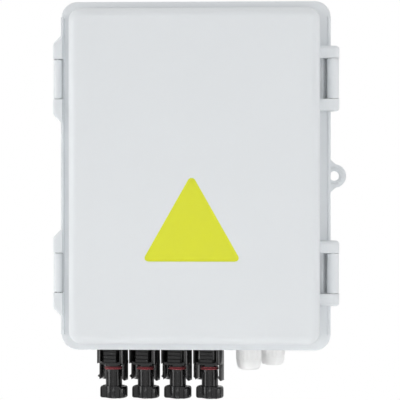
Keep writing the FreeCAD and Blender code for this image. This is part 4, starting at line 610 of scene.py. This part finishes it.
# The stage, in metres and watts
SENSOR = 36.0
FLOOR_SIZE = 8
CAMERA_PLACE = Vector((0.057, -0.985, 0))
CAMERA_TARGET = Vector((0.0025, -0.085, -0.0152))
BOX_FRONT = (0, -0.05, -0.02)
# Each lamp has a name, a power, its two sides, its place, its target and its spread.
LAMPS = (
    ("Left Lamp", 6.8, (0.8, 0.8), (-1.3, -0.45, 0), BOX_FRONT, 180),
    ("Right Lamp", 4, (0.8, 0.8), (1.3, -0.45, 0), BOX_FRONT, 180),
    ("Front Lamp", 3.4, (1.2, 1.2), (0.3, -2.2, 0.3), BOX_FRONT, 180),
    ("Low Lamp", 1.35, (1.2, 0.12), (0, -1.2, -0.1), (0, -0.1, -0.1), 180),
    ("Top Lamp", 2, (0.9, 0.9), (0, -0.2, 1.2), BOX_FRONT, 180),
    ("Table Lamp", 5.9, (0.9, 0.9), (0, -0.85, 0.3), (0, -0.85, 0), 20),
)


# Operators

class COMBINER_OT_stage(bpy.types.Operator):
    """Add the floor, the lamps, the white surroundings and the camera"""

    bl_idname = "combiner.stage"
    bl_label = "Stage"

    def execute(self, context):
        settings = context.scene.combiner_stage
        context.scene.view_settings.view_transform = "Standard"
        self.surroundings(context, settings)
        self.floor(settings)
        self.lamps(settings)
        self.camera(context, settings)
        return {"FINISHED"}

    def mixed(self, tree, factor, first, second):
        """One shader where a factor is nought and another where it is one."""
        mix = tree.nodes.new("ShaderNodeMixShader")
        for socket, value in zip(mix.inputs, (factor, first, second)):
            tree.links.new(value, socket)
        return mix.outputs[0]

    def looks(self, tree):
        """One for a camera, glossy or transmission ray, and nought for the rest."""
        path = tree.nodes.new("ShaderNodeLightPath")
        first = math_node(tree, "MAXIMUM", path.outputs["Is Camera Ray"],
                          path.outputs["Is Glossy Ray"])
        return math_node(tree, "MAXIMUM", first, path.outputs["Is Transmission Ray"])

    def surroundings(self, context, settings):
        """Even light, with white where the camera or a reflection looks past the box."""
        world = bpy.data.worlds.new("White Surroundings")
        context.scene.world = world
        world.use_nodes = True
        tree = world.node_tree
        light = tree.nodes["Background"]
        seen = tree.nodes.new("ShaderNodeBackground")
        for background, strength in ((light, settings.soft_light), (seen, 1)):
            background.inputs["Color"].default_value = WHITE
            background.inputs["Strength"].default_value = strength
        shown = self.mixed(tree, self.looks(tree), light.outputs[0], seen.outputs[0])
        tree.links.new(shown, tree.nodes["World Output"].inputs["Surface"])

    def floor(self, settings):
        """A pale floor that looks white, keeps shadows and isn't seen from below."""
        deselect()
        bpy.ops.mesh.primitive_plane_add(
            size=FLOOR_SIZE, location=(0, 0, LOWEST - settings.floor_drop))
        floor = bpy.context.object
        floor.name = "floor"
        set_place(floor)
        tree, shader, places = new_material("Pale floor")
        specks = noise_node(tree, places, 900, 3)
        tint = ramp_between(tree, specks, shade(WHITE, 0.8), shade(WHITE, 0.84), 0.3, 0.7)
        tree.links.new(tint, shader.inputs["Base Color"])
        shader.inputs["Roughness"].default_value = 0.8
        shader.inputs["Specular IOR Level"].default_value = 0.1
        lift = tree.nodes.new("ShaderNodeEmission")
        lift.inputs["Strength"].default_value = 0.8
        added = tree.nodes.new("ShaderNodeAddShader")
        tree.links.new(shader.outputs[0], added.inputs[0])
        tree.links.new(lift.outputs[0], added.inputs[1])
        seen = self.mixed(tree, self.looks(tree), shader.outputs[0], added.outputs[0])
        clear = tree.nodes.new("ShaderNodeBsdfTransparent")
        geometry = tree.nodes.new("ShaderNodeNewGeometry")
        shown = self.mixed(tree, geometry.outputs["Backfacing"], seen, clear.outputs[0])
        tree.links.new(shown, tree.nodes["Material Output"].inputs["Surface"])
        floor.data.materials.append(bpy.data.materials["Pale floor"])

    def lamps(self, settings):
        for name, power, sides, place, target, spread in LAMPS:
            turn = (Vector(target) - Vector(place)).to_track_quat("-Z", "Y").to_euler()
            bpy.ops.object.light_add(type="AREA", location=place, rotation=turn)
            lamp = bpy.context.object.data
            lamp.name = name
            lamp.energy = power * settings.lamp_level
            lamp.shape = "RECTANGLE"
            lamp.size, lamp.size_y = sides
            lamp.spread = math.radians(spread)

    def camera(self, context, settings):
        """The photograph's view: nearly square on, from a little to the right."""
        right, down = settings.camera_shift_right, settings.camera_shift_down
        offset = CAMERA_PLACE - CAMERA_TARGET
        across = math.atan(offset.x / -offset.y) - math.atan(right * SENSOR / settings.lens)
        below = math.atan(offset.z / -offset.y) - math.atan(down * SENSOR / settings.lens)
        bpy.ops.object.camera_add(location=CAMERA_PLACE,
                                  rotation=(math.pi / 2 - below, 0, across))
        camera = bpy.context.object
        camera.name = "Camera"
        camera.data.lens = settings.lens
        camera.data.sensor_width = SENSOR
        camera.data.shift_x = -right
        camera.data.shift_y = -down
        context.scene.camera = camera


class COMBINER_OT_finishes(bpy.types.Operator):
    """Make the shared shader groups and give every CAD node its finish"""

    bl_idname = "combiner.finishes"
    bl_label = "Finishes"

    def execute(self, context):
        colours = context.scene.combiner_finish
        grain_group()
        dust_group()
        brush_group()
        plastic("Housing plastic", colours.case, rough=0.42, grain=1300, depth=12,
                tone=0.012, dust=0.12)
        plastic("Connector plastic", colours.connector, rough=0.2, grain=1900, depth=6,
                tone=0.3, dust=0.03, gloss=0.36)
        plastic("Gland nylon", colours.gland, rough=0.45, grain=1700, depth=10,
                tone=0.02, dust=0.1)
        plastic("Module plastic", colours.module, rough=0.38, grain=1700, depth=12,
                tone=0.02, dust=0.15)
        plastic("Handle plastic", colours.handle, rough=0.34, grain=1900, depth=10,
                tone=0.15, dust=0.12)
        plastic("Fuse ceramic", (0.86, 0.85, 0.8), rough=0.2, grain=600, depth=4,
                tone=0.02, dust=0.05)
        for name, colour in (("Red lens", (0.45, 0.012, 0.012)),
                             ("Green lens", (0.03, 0.3, 0.06))):
            plastic(name, colour, rough=0.14, grain=500, depth=2, tone=0.15, dust=0.05,
                    gloss=0.6)
        plastic("Marker card", (0.88, 0.88, 0.86), rough=0.55, grain=2200, depth=6,
                tone=0.015, dust=0.1, gloss=0.3)
        metal("Zinc plate", (0.72, 0.73, 0.74), rough=0.28, dull=0.75)
        metal("Bare copper", (0.8, 0.42, 0.27), rough=0.26, dull=0.6)
        metal("Bare brass", (0.78, 0.62, 0.32), rough=0.27, dull=0.65)
        sign_paint("Sign yellow", colours.plate)
        rubber("Foam cord", (0.11, 0.11, 0.115), rough=0.8, grain=1400, depth=50)
        rubber("Red silicone", (0.18, 0.008, 0.016), rough=0.42)
        rubber("Black rubber", (0.03, 0.03, 0.03), rough=0.6)
        rubber("Red insulation", (0.5, 0.02, 0.018), rough=0.4, depth=6)
        rubber("Black insulation", (0.025, 0.025, 0.027), rough=0.4, depth=6)
        finish_of = {
            "case_grey": "Housing plastic", "gasket_foam": "Foam cord",
            "plated_steel": "Zinc plate", "module_grey": "Module plastic",
            "fuse_ceramic": "Fuse ceramic", "handle_black": "Handle plastic",
            "busbar_copper": "Bare copper", "bar_brass": "Bare brass",
            "connector_black": "Connector plastic", "seal_red": "Red silicone",
            "gland_white": "Gland nylon", "gland_rubber": "Black rubber",
            "lead_red": "Red insulation", "lead_black": "Black insulation",
        }
        for part in frame["record"]["subparts"]:
            node = NODES[part["node"]]
            node.data.materials.clear()
            node.data.materials.append(bpy.data.materials[finish_of[part["material_slot"]]])
        return {"FINISHED"}


class COMBINER_OT_sign_plate(bpy.types.Operator):
    """Model the bare yellow plate that lies flush in the lid"""

    bl_idname = "combiner.sign_plate"
    bl_label = "Sign Plate"

    def execute(self, context):
        settings = context.scene.combiner_sizes
        deselect()
        bpy.ops.mesh.primitive_circle_add(vertices=3, radius=1, fill_type="NGON")
        plate = bpy.context.object
        plate.name = "sign_plate"
        plate.scale = (settings.sign_width / math.sqrt(3), settings.sign_height / 1.5, 1)
        set_place(plate)
        edit(plate, "VERT", "SELECT")
        bpy.ops.mesh.bevel(affect="VERTICES", offset=4.5 * MM, segments=8)
        bpy.ops.mesh.select_mode(type="FACE")
        bpy.ops.mesh.select_all(action="SELECT")
        bpy.ops.mesh.extrude_region_move(TRANSFORM_OT_translate={"value": (0, 0, 0.36 * MM)})
        for thickness, rise in ((0.12, 0.02), (1.3, 0), (0.25, -0.12)):
            bpy.ops.mesh.inset(thickness=thickness * MM, depth=rise * MM)
        close_edit()
        recalculate(plate)
        centre = SIGN_TOP * MM - settings.sign_height * 2 / 3
        move(plate, (SIGN_CENTRE * MM, LID_FRONT + SIGN_RECESS * MM, centre), FORWARD)
        smooth(plate, 25)
        finish_piece(plate, "Sign yellow", body="lid")
        return {"FINISHED"}


class COMBINER_OT_ear_trim(bpy.types.Operator):
    """Model the webs at the foot of both wall ears and the collars round their holes"""

    bl_idname = "combiner.ear_trim"
    bl_label = "Wall Ear Trim"

    def execute(self, context):
        web = block("web", (82, -3.8, 5.8), (91.4, -0.2, 17))
        slice_at(web, "X", (84, 86, 87.6, 88.8, 90))
        for across, drop in ((84, 2.1), (86, 4), (87.6, 5.5), (88.8, 6.7), (90, 7.9),
                             (91.4, 9)):
            move_points(web, lambda p: abs(p.x - across) < 0.05 and p.z > 6, (0, 0, -drop))
        soften(web, 0.3)
        webs = copies(web, "ear_web", [(0, 0, 0)] * 4)
        flipped = (0, -EAR_THICKNESS * MM, 0)
        move(webs[1], flipped, (180, 0, 0))
        move(webs[2], flipped, (0, 0, 180))
        move(webs[3], (0, 0, 0), (0, 180, 0))
        collar = turned("collar", [
            (3.3, -0.5), (3.3, -0.25), (4.3, 0.6), (4.6, 0.6), (4.75, 0.1), (5.05, 0.1),
            (5.2, 0.35), (5.5, 0.35), (5.9, -0.2), (5.9, -0.9), (4.5, -0.9)], closed=True)
        holes = [(side * EAR_CENTRE * MM, EAR_FRONT * MM, 0) for side in SIDES]
        whole = join("ear_trim", webs + copies(collar, "ear_collar", holes, FORWARD))
        smooth(whole)
        finish_piece(whole, "Housing plastic")
        return {"FINISHED"}


def stub_steps():
    """The threaded stub with its lead hole, and the collar, of both kinds of connector."""
    return ([(2.05, 5.5), (2.05, STUB_TOP), (5.5, STUB_TOP)] + thread(11.1, 0.2, 6)
            + [(6, 0), (9.2, 0), (9.2, -2.6), (5.4, -2.6)])


def finger(side, outer, half_width, barb):
    """A snap finger on one side, with its barb at the end pushed along X."""
    inner = outer - 1.3
    piece = block("finger", (side * inner, -half_width, -26.2), (side * outer, half_width, -1.3))
    slice_at(piece, "Z", (-22.6, -24, -25))
    barb_face = side * (outer if side * barb > 0 else inner)
    move_points(piece, lambda p: abs(p.x - barb_face) < 0.05 and abs(p.z + 24) < 0.7,
                (barb, 0, 0))
    move_points(piece, lambda p: p.z < -26.1 and abs(p.x - side * inner) < 0.05, (0, 0, 0.9))
    soften(piece, 0.2)
    return piece


def guard(side):
    """The curved shield beside a finger, with a shallow panel in its front."""
    piece = block("guard", (side * 7, -6.4, -15.4), (side * 9.3, 0.8, -1.3))
    move_points(piece, lambda p: abs(p.x) < 7.1 and p.z < -15, (0, 0, 1.15))
    flute(piece, front_face, 0.55, -0.35)
    soften(piece, 0.3)
    return piece


class COMBINER_OT_front_connectors(bpy.types.Operator):
    """Model one front connector with its ribs, guards and snap fingers, and copy it"""

    bl_idname = "combiner.front_connectors"
    bl_label = "Front Connectors"

    def execute(self, context):
        core = turned("core", stub_steps() + [
            (5.4, -14.1), (4.9, -17), (4.9, -19.1), (5.35, -19.1), (5.35, -20.4),
            (5.35, -32.6)])
        flute(core, band(-2.6, 0, ROUND), 0.12, -0.3)
        flute(core, band(-32, -20.5, ROUND // 2), 0.2, -0.5, together=True)
        ribs = block("ribs", (-4.5, -6.4, -14.1), (4.5, 0, -2.6))
        slice_at(ribs, "Z", (-3.8, -5, -6.2, -7.4, -8.6, -9.8, -11, -12.2))
        flute(ribs, lambda c, n: front_face(c, n) and int((-c.z - 2.6) / 1.2) % 2 == 1,
              0.15, -0.6)
        soften(ribs, 0.12, 1)
        yoke = block("yoke", (-7.5, -6.4, -15.8), (7.5, 6.4, -14.1))
        slice_at(yoke, "X", (-4.5, 4.5))
        move_points(yoke, lambda p: abs(p.x) > 7 and p.z > -15, (0, 0, 0.8))
        soften(yoke, 0.35)
        whole = join("front_connector", [
            core, ribs, yoke, guard(-1), guard(1), finger(-1, 9.5, 2.6, -1.4),
            finger(1, 8.9, 3, -1)])
        smooth(whole)
        finish_copies(whole, "front_connector", SOCKETS, "Connector plastic",
                      "socket_connector_#",
                      turn=(0, 0, context.scene.combiner_sizes.connector_turn))
        return {"FINISHED"}


class COMBINER_OT_front_caps(bpy.types.Operator):
    """Model the grooved dust cap and the red sealing ring of the front connectors"""

    bl_idname = "combiner.front_caps"
    bl_label = "Front Caps and Rings"

    def execute(self, context):
        wings = turned("wings", [
            (5.4, -30), (7.4, -30), (8.4, -30.3), (8.9, -30.9), (9.05, -31.7), (9.05, -36.6),
            (8.8, -37.3), (8.2, -37.6), (5.4, -37.6)], FINE)
        for side in SIDES:
            edit(wings, action="SELECT")
            bpy.ops.mesh.bisect(plane_co=Vector((0, side * 4.9, 0)) * MM,
                                plane_no=(0, side, 0), use_fill=True, clear_outer=True)
            close_edit()
        slice_at(wings, "X", [side * step for side in SIDES for step in (6.3, 7, 7.7, 8.3)])
        slice_at(wings, "Z", (-31.6, -36.7))
        recalculate(wings)
        flute(wings, lambda c, n: abs(n.y) > 0.99 and -36.7 < c.z < -31.6
              and (6.3 < abs(c.x) < 7 or 7.7 < abs(c.x) < 8.3), 0.12, -0.4)
        grooves = band(-36.7, -31.6, FINE // 2)
        flute(wings, lambda c, n: abs(n.y) < 0.6 and grooves(c, n), 0.15, -0.35,
              together=True)
        tube = turned("tube", [
            (5.4, -29.6), (5.9, -29.75), (6.05, -30.1), (6.05, -37.2), (5.85, -37.65),
            (4.5, -37.75), (3, -38.35)])
        flute(tube, band(-37.2, -30.1, ROUND // 2), 0.18, -0.45, together=True)
        cap = join("cap", [wings, tube])
        smooth(cap, 30)
        finish_copies(cap, "front_cap", SOCKETS, "Connector plastic",
                      "socket_cap_#", turn=(0, 0, context.scene.combiner_sizes.connector_turn))
        ring = turned("ring", [
            (4.92, -17.1), (5.6, -17.1), (5.8, -17.25), (5.8, -17.4), (5.6, -17.55),
            (5.3, -17.8), (5.8, -17.95), (6.2, -18.15), (6.3, -18.4), (6.2, -18.65), (6, -18.8),
            (4.92, -18.8)], FINE, closed=True)
        smooth(ring, 50)
        finish_set(ring, "seal_rings", SOCKETS, "Red silicone", "socket_seal_rings")
        return {"FINISHED"}


class COMBINER_OT_back_connectors(bpy.types.Operator):
    """Model one back connector with its open shell and dust plug, and copy them"""

    bl_idname = "combiner.back_connectors"
    bl_label = "Back Connectors"

    def execute(self, context):
        shell = turned("shell", stub_steps() + [
            (5.4, -8), (8, -10.6), (8.4, -11.4), (8.4, -13.4), (8.4, -19.6), (8.4, -20.2),
            (8.4, -23.8), (8.4, -24.5), (7, -24.5), (7, -13)], FINE)
        flute(shell, band(-2.6, 0, FINE), 0.1, -0.3)
        flute(shell, band(-23.8, -20.2, FINE), 0.08, -0.25)
        carve(shell, block("window", (-9.5, -2.5, -19), (9.5, 2.5, -14)))
        plug = turned("plug", [
            (5.7, -18.5), (6.95, -19.8), (6.95, -24.5), (8.1, -24.5), (8.4, -24.8), (8.4, -25.2),
            (8.4, -27.6), (8.1, -28.4), (7.4, -28.9), (4.4, -28.9), (4.1, -28.5)], FINE)
        flute(plug, band(-27.6, -25.2, FINE), 0.08, -0.25)
        for piece, name, node in ((shell, "back_connector", "pin_connector_#"),
                                  (plug, "back_cap", "pin_cap_#")):
            smooth(piece)
            finish_copies(piece, name, SHELLS, "Connector plastic", node)
        return {"FINISHED"}


def hexagon(name, across, low, high):
    """A hexagon bar between two heights with its edges broken."""
    corner = across / 2 / math.cos(math.radians(30))
    steps = [(corner - 0.5, high), (corner, high - 0.5), (corner, low + 0.5),
             (corner - 0.5, low)]
    return turned(name, steps, 6, 30)


class COMBINER_OT_nuts(bpy.types.Operator):
    """Model the chamfered nuts that hold the connectors and glands from inside"""

    bl_idname = "combiner.nuts"
    bl_label = "Nuts Inside"

    def execute(self, context):
        for name, across, top, places, material, slot, node in (
                ("connector_nut_set", 16.5, 7, SOCKETS + SHELLS, "Connector plastic",
                 "connector_black", "connector_nuts"),
                ("gland_locknut_set", 17, 6.6, GLANDS, "Gland nylon", "gland_white",
                 "gland_locknuts")):
            nut = hexagon("nut", across, 3, top)
            carve(nut, turned("bore", [(6.05, 0), (6.05, 10)]))
            soften(nut, 0.25)
            finish_set(nut, name, places, material, node)
        return {"FINISHED"}


class COMBINER_OT_glands(bpy.types.Operator):
    """Model the cable glands: hexagon, dome nut with grips, and rubber lips"""

    bl_idname = "combiner.glands"
    bl_label = "Cable Glands"

    def execute(self, context):
        bore = [(4.45, -13.1), (4.45, 7.6), (5.6, 7.6)]
        body = turned("body", bore + thread(7.3, 0.1, 6) + [(6, 0), (6, -13.1)])
        flats = hexagon("flats", 16.6, -4.8, -1)
        soften(flats, 0.3)
        washer = turned("washer", [(8.1, -0.02), (8.3, -0.2), (8.3, -0.9), (8.1, -1.05)])
        base = join("base", [body, flats, washer])
        dome = turned("dome", [
            (6.05, -5.1), (7.9, -5.1), (8.3, -5.5), (8.3, -6.4), (8.3, -12.2), (8.3, -12.9),
            (8.05, -13.15), (8.2, -13.4), (8.05, -14.6), (7.8, -16.2), (7.5, -17.5),
            (7.1, -18.4), (6.4, -19), (5.4, -19.2), (4.6, -19.15), (4.42, -18.8),
            (4.42, -13.5), (6.05, -13.5)], FINEST, closed=True)
        flute(dome, band(-12.2, -6.4, FINEST // 2, 8), 0.1, -0.18)
        lip = turned("lip", [
            (3, -18.3), (3.3, -18.75), (3.8, -18.9), (4.25, -18.75), (4.38, -18.4),
            (4.38, -9.9), (3, -9.9), (3, -16.4), (2.8, -16.7), (3, -17)], closed=True)
        for piece, angle, name, material, slot, node in (
                (base, 35, "gland_base", "Gland nylon", "gland_white", "gland_body_#"),
                (dome, 35, "gland_dome", "Gland nylon", "gland_white", "gland_nut_#"),
                (lip, 50, "gland_lip", "Black rubber", "gland_rubber", "gland_seal_#")):
            smooth(piece, angle)
            finish_copies(piece, name, GLANDS, material, node)
        return {"FINISHED"}


def label_card(half, low, high, front, proud, sunk):
    """A bare card in its frame: how far it stands proud, and how deep its panel is."""
    card = block("card", (-half, front - proud, low), (half, front + 0.1, high), 0.1)
    flute(card, front_face, 0.5, -sunk)
    return card


class COMBINER_OT_fuse_drawers(bpy.types.Operator):
    """Model the grip bars, the indicator lens and the bare marker card of each fuse drawer"""

    bl_idname = "combiner.fuse_drawers"
    bl_label = "Fuse Drawer Fronts"

    def execute(self, context):
        front = DRAWER_FRONT
        bars = [block("bar", (-4.9, front + 0.6, level), (4.9, front + 1.75, level + 0.7), 0.2)
                for level in (28.3, 29.9, 31.5, 33.1, 34.5)]
        bezel = turned("bezel", [(1.55, -0.2), (1.55, 0.35), (1.75, 0.5), (2, 0.45),
                                 (2.2, 0.2), (2.2, -0.2)], COARSE, closed=True)
        lens = turned("lens", [(1.5, -0.2), (1.5, 0.3), (1.3, 0.55), (0.9, 0.75), (0.4, 0.82)],
                      COARSE)
        for piece in (bezel, lens):
            move(piece, (0, front * MM, 21.5 * MM), FORWARD)
        card = label_card(4.7, 4, 14, front, 0.25, 0.1)
        for piece, name, finish in (
                (join("trim_set", bars + [bezel]), "drawer_trim", "Module plastic"),
                (lens, "drawer_lens", "Red lens"), (card, "drawer_card", "Marker card")):
            smooth(piece, 40)
            finish_copies(piece, name, DRAWERS, finish, body="fuse_drawer_#")
        return {"FINISHED"}


class COMBINER_OT_fuse_links(bpy.types.Operator):
    """Model the ceramic tube and the crimped end caps of each fuse"""

    bl_idname = "combiner.fuse_links"
    bl_label = "Fuse Links"

    def execute(self, context):
        tube = turned("tube", [
            (4.7, 18.5), (4.85, 18.3), (4.85, 11.3), (4.82, 11), (4.82, -11), (4.85, -11.3),
            (4.85, -18.3), (4.7, -18.5)])
        caps = []
        for side in SIDES:
            cap = turned("cap", [
                (4.9, 11), (5.1, 11.05), (5.15, 11.2), (5.15, 12.2), (5.02, 12.5), (5.02, 12.9),
                (5.15, 13.2), (5.15, 18.6), (5, 18.9), (4.7, 19), (2.2, 19), (2, 18.8)])
            caps.append(move(cap, (0, 0, 0), (90 - 90 * side, 0, 0)))
        for piece, name, finish, slot, node in (
                (tube, "fuse_tube", "Fuse ceramic", "fuse_ceramic", "fuse_link_#"),
                (join("caps", caps), "fuse_caps", "Zinc plate", None, "")):
            smooth(piece, 30)
            finish_copies(piece, name, row("fuse_link_%d"), finish, node,
                          "fuse_drawer_#")
        return {"FINISHED"}


class COMBINER_OT_breaker_front(bpy.types.Operator):
    """Model the on and off marks, the flag windows and the ridges of the breaker's handle"""

    bl_idname = "combiner.breaker_front"
    bl_label = "Breaker Front"

    def execute(self, context):
        front = MODULE_FRONT
        bar = block("bar", (-0.45, front - 0.2, 32.8), (0.45, front + 0.1, 36.8), 0.08)
        ring = turned("ring", [(1.5, -0.1), (1.5, 0.12), (1.6, 0.2), (2.1, 0.2), (2.2, 0.12),
                               (2.2, -0.1)], COARSE, closed=True)
        move(ring, (0, front * MM, 1.5 * MM), FORWARD)
        marks = move(join("breaker_marks", [bar, ring]), (BREAKER.x, 0, 0))
        smooth(marks, 40)
        finish_piece(marks, "Handle plastic")
        flag = block("flag", (-2, front - 0.15, 33.4), (2, front + 0.1, 36.2), 0.1)
        flute(flag, front_face, 0.35, -0.12)
        finish_set(flag, "breaker_flags", BREAKER_POLES, "Red lens")
        ridges = []
        for along in (11.2, 12.6, 14):
            half = 2 - 0.04 * along
            ridges += [block("ridge", (-9.6, -along - 0.3, side * (half - 0.2)),
                             (9.6, -along + 0.3, side * (half + 0.35)), 0.12)
                       for side in SIDES]
        grip = move(join("toggle_ridges", ridges), (BREAKER.x, HANDLE_PIVOT * MM, BREAKER.z),
                    (HANDLE_LEAN, 0, 0))
        finish_piece(grip, "Handle plastic", body="breaker_handle")
        return {"FINISHED"}


class COMBINER_OT_surge_front(bpy.types.Operator):
    """Model the status windows, bare marker cards and pull ribs of the surge protector"""

    bl_idname = "combiner.surge_front"
    bl_label = "Surge Protector Front"

    def execute(self, context):
        front = MODULE_FRONT
        window = block("window", (-4.1, front + 0.15, 24.15), (4.1, front + 0.75, 29.85), 0.12)
        flute(window, front_face, 0.6, -0.12)
        card = label_card(5.6, 5, 19, front, 0.2, 0.08)
        ribs = [block("rib", (-5.6, front - 0.4, level), (5.6, front + 0.1, level + 0.7), 0.15)
                for level in (-3.6, -2.2, -0.8, 33.6, 35, 36.4, 37.8)]
        finish_set(window, "surge_windows", SURGE_POLES, "Green lens")
        finish_set(card, "surge_cards", SURGE_POLES, "Marker card")
        finish_set(join("ribs", ribs), "surge_ribs", SURGE_POLES, "Module plastic")
        return {"FINISHED"}


def screw(radius, head_height, shank, length, cross):
    """A screw along Z with its head up, its thread, and a cross or a slot in the head."""
    piece = turned("screw", [
        (radius - 0.35, 0), (radius - 0.08, -0.15), (radius, -0.4), (radius, -head_height),
        (shank, -head_height)] + thread(-head_height - 0.1, -length, shank, 0.8, 0.3), COARSE)
    reach = radius * (0.7 if cross else 1.2)
    carve(piece, block("slot", (-0.4, -reach, -1.1), (0.4, reach, 0.5)))
    if cross:
        carve(piece, block("slot", (-reach, -0.4, -1.1), (reach, 0.4, 0.5)))
    smooth(piece, 30)
    return piece


class COMBINER_OT_screws(bpy.types.Operator):
    """Model the terminal, rail and bar screws with their recesses and threads"""

    bl_idname = "combiner.screws"
    bl_label = "Screws"

    def execute(self, context):
        for name, piece, places, node in (
                ("terminal_screw_set", screw(2.9, 2.6, 2.2, 11, True), TERMINAL_SCREWS,
                 "terminal_screws"),
                ("rail_screw_set", screw(3.6, 2.35, 1.8, 6, True), RAIL_SCREWS,
                 "din_rail_screws"),
                ("bar_screw_set", screw(2.2, 2, 1.8, 4, False), BAR_SCREWS,
                 "negative_bar_screws")):
            finish_set(piece, name, places, "Zinc plate", node, FORWARD)
        return {"FINISHED"}


class COMBINER_PT_panel(bpy.types.Panel):
    """The steps that dress the combiner box, in order, and their settings"""

    bl_idname = "COMBINER_PT_panel"
    bl_label = "Combiner Box"
    bl_space_type = "VIEW_3D"
    bl_region_type = "UI"
    bl_category = "Combiner Box"

    def draw(self, context):
        for step in STEPS:
            self.layout.operator(step.bl_idname)
        for name, settings in SETTINGS:
            for label in settings.__annotations__:
                self.layout.prop(getattr(context.scene, name), label)


STEPS = (
    COMBINER_OT_finishes,
    COMBINER_OT_stage,
    COMBINER_OT_sign_plate,
    COMBINER_OT_ear_trim,
    COMBINER_OT_front_connectors,
    COMBINER_OT_front_caps,
    COMBINER_OT_back_connectors,
    COMBINER_OT_nuts,
    COMBINER_OT_glands,
    COMBINER_OT_fuse_drawers,
    COMBINER_OT_fuse_links,
    COMBINER_OT_breaker_front,
    COMBINER_OT_surge_front,
    COMBINER_OT_screws,
)
SETTINGS = (
    ("combiner_sizes", SizeSettings),
    ("combiner_finish", FinishSettings),
    ("combiner_stage", StageSettings),
)


def register():
    for name, settings in SETTINGS:
        bpy.utils.register_class(settings)
        setattr(bpy.types.Scene, name, bpy.props.PointerProperty(type=settings))
    for step in STEPS:
        bpy.utils.register_class(step)
    bpy.utils.register_class(COMBINER_PT_panel)


def unregister():
    bpy.utils.unregister_class(COMBINER_PT_panel)
    for step in reversed(STEPS):
        bpy.utils.unregister_class(step)
    for name, settings in reversed(SETTINGS):
        delattr(bpy.types.Scene, name)
        bpy.utils.unregister_class(settings)


def main():
    register()
    bpy.ops.combiner.finishes()
    bpy.ops.combiner.stage()
    bpy.ops.combiner.sign_plate()
    bpy.ops.combiner.ear_trim()
    bpy.ops.combiner.front_connectors()
    bpy.ops.combiner.front_caps()
    bpy.ops.combiner.back_connectors()
    bpy.ops.combiner.nuts()
    bpy.ops.combiner.glands()
    bpy.ops.combiner.fuse_drawers()
    bpy.ops.combiner.fuse_links()
    bpy.ops.combiner.breaker_front()
    bpy.ops.combiner.surge_front()
    bpy.ops.combiner.screws()


if __name__ == "__main__":
    main()
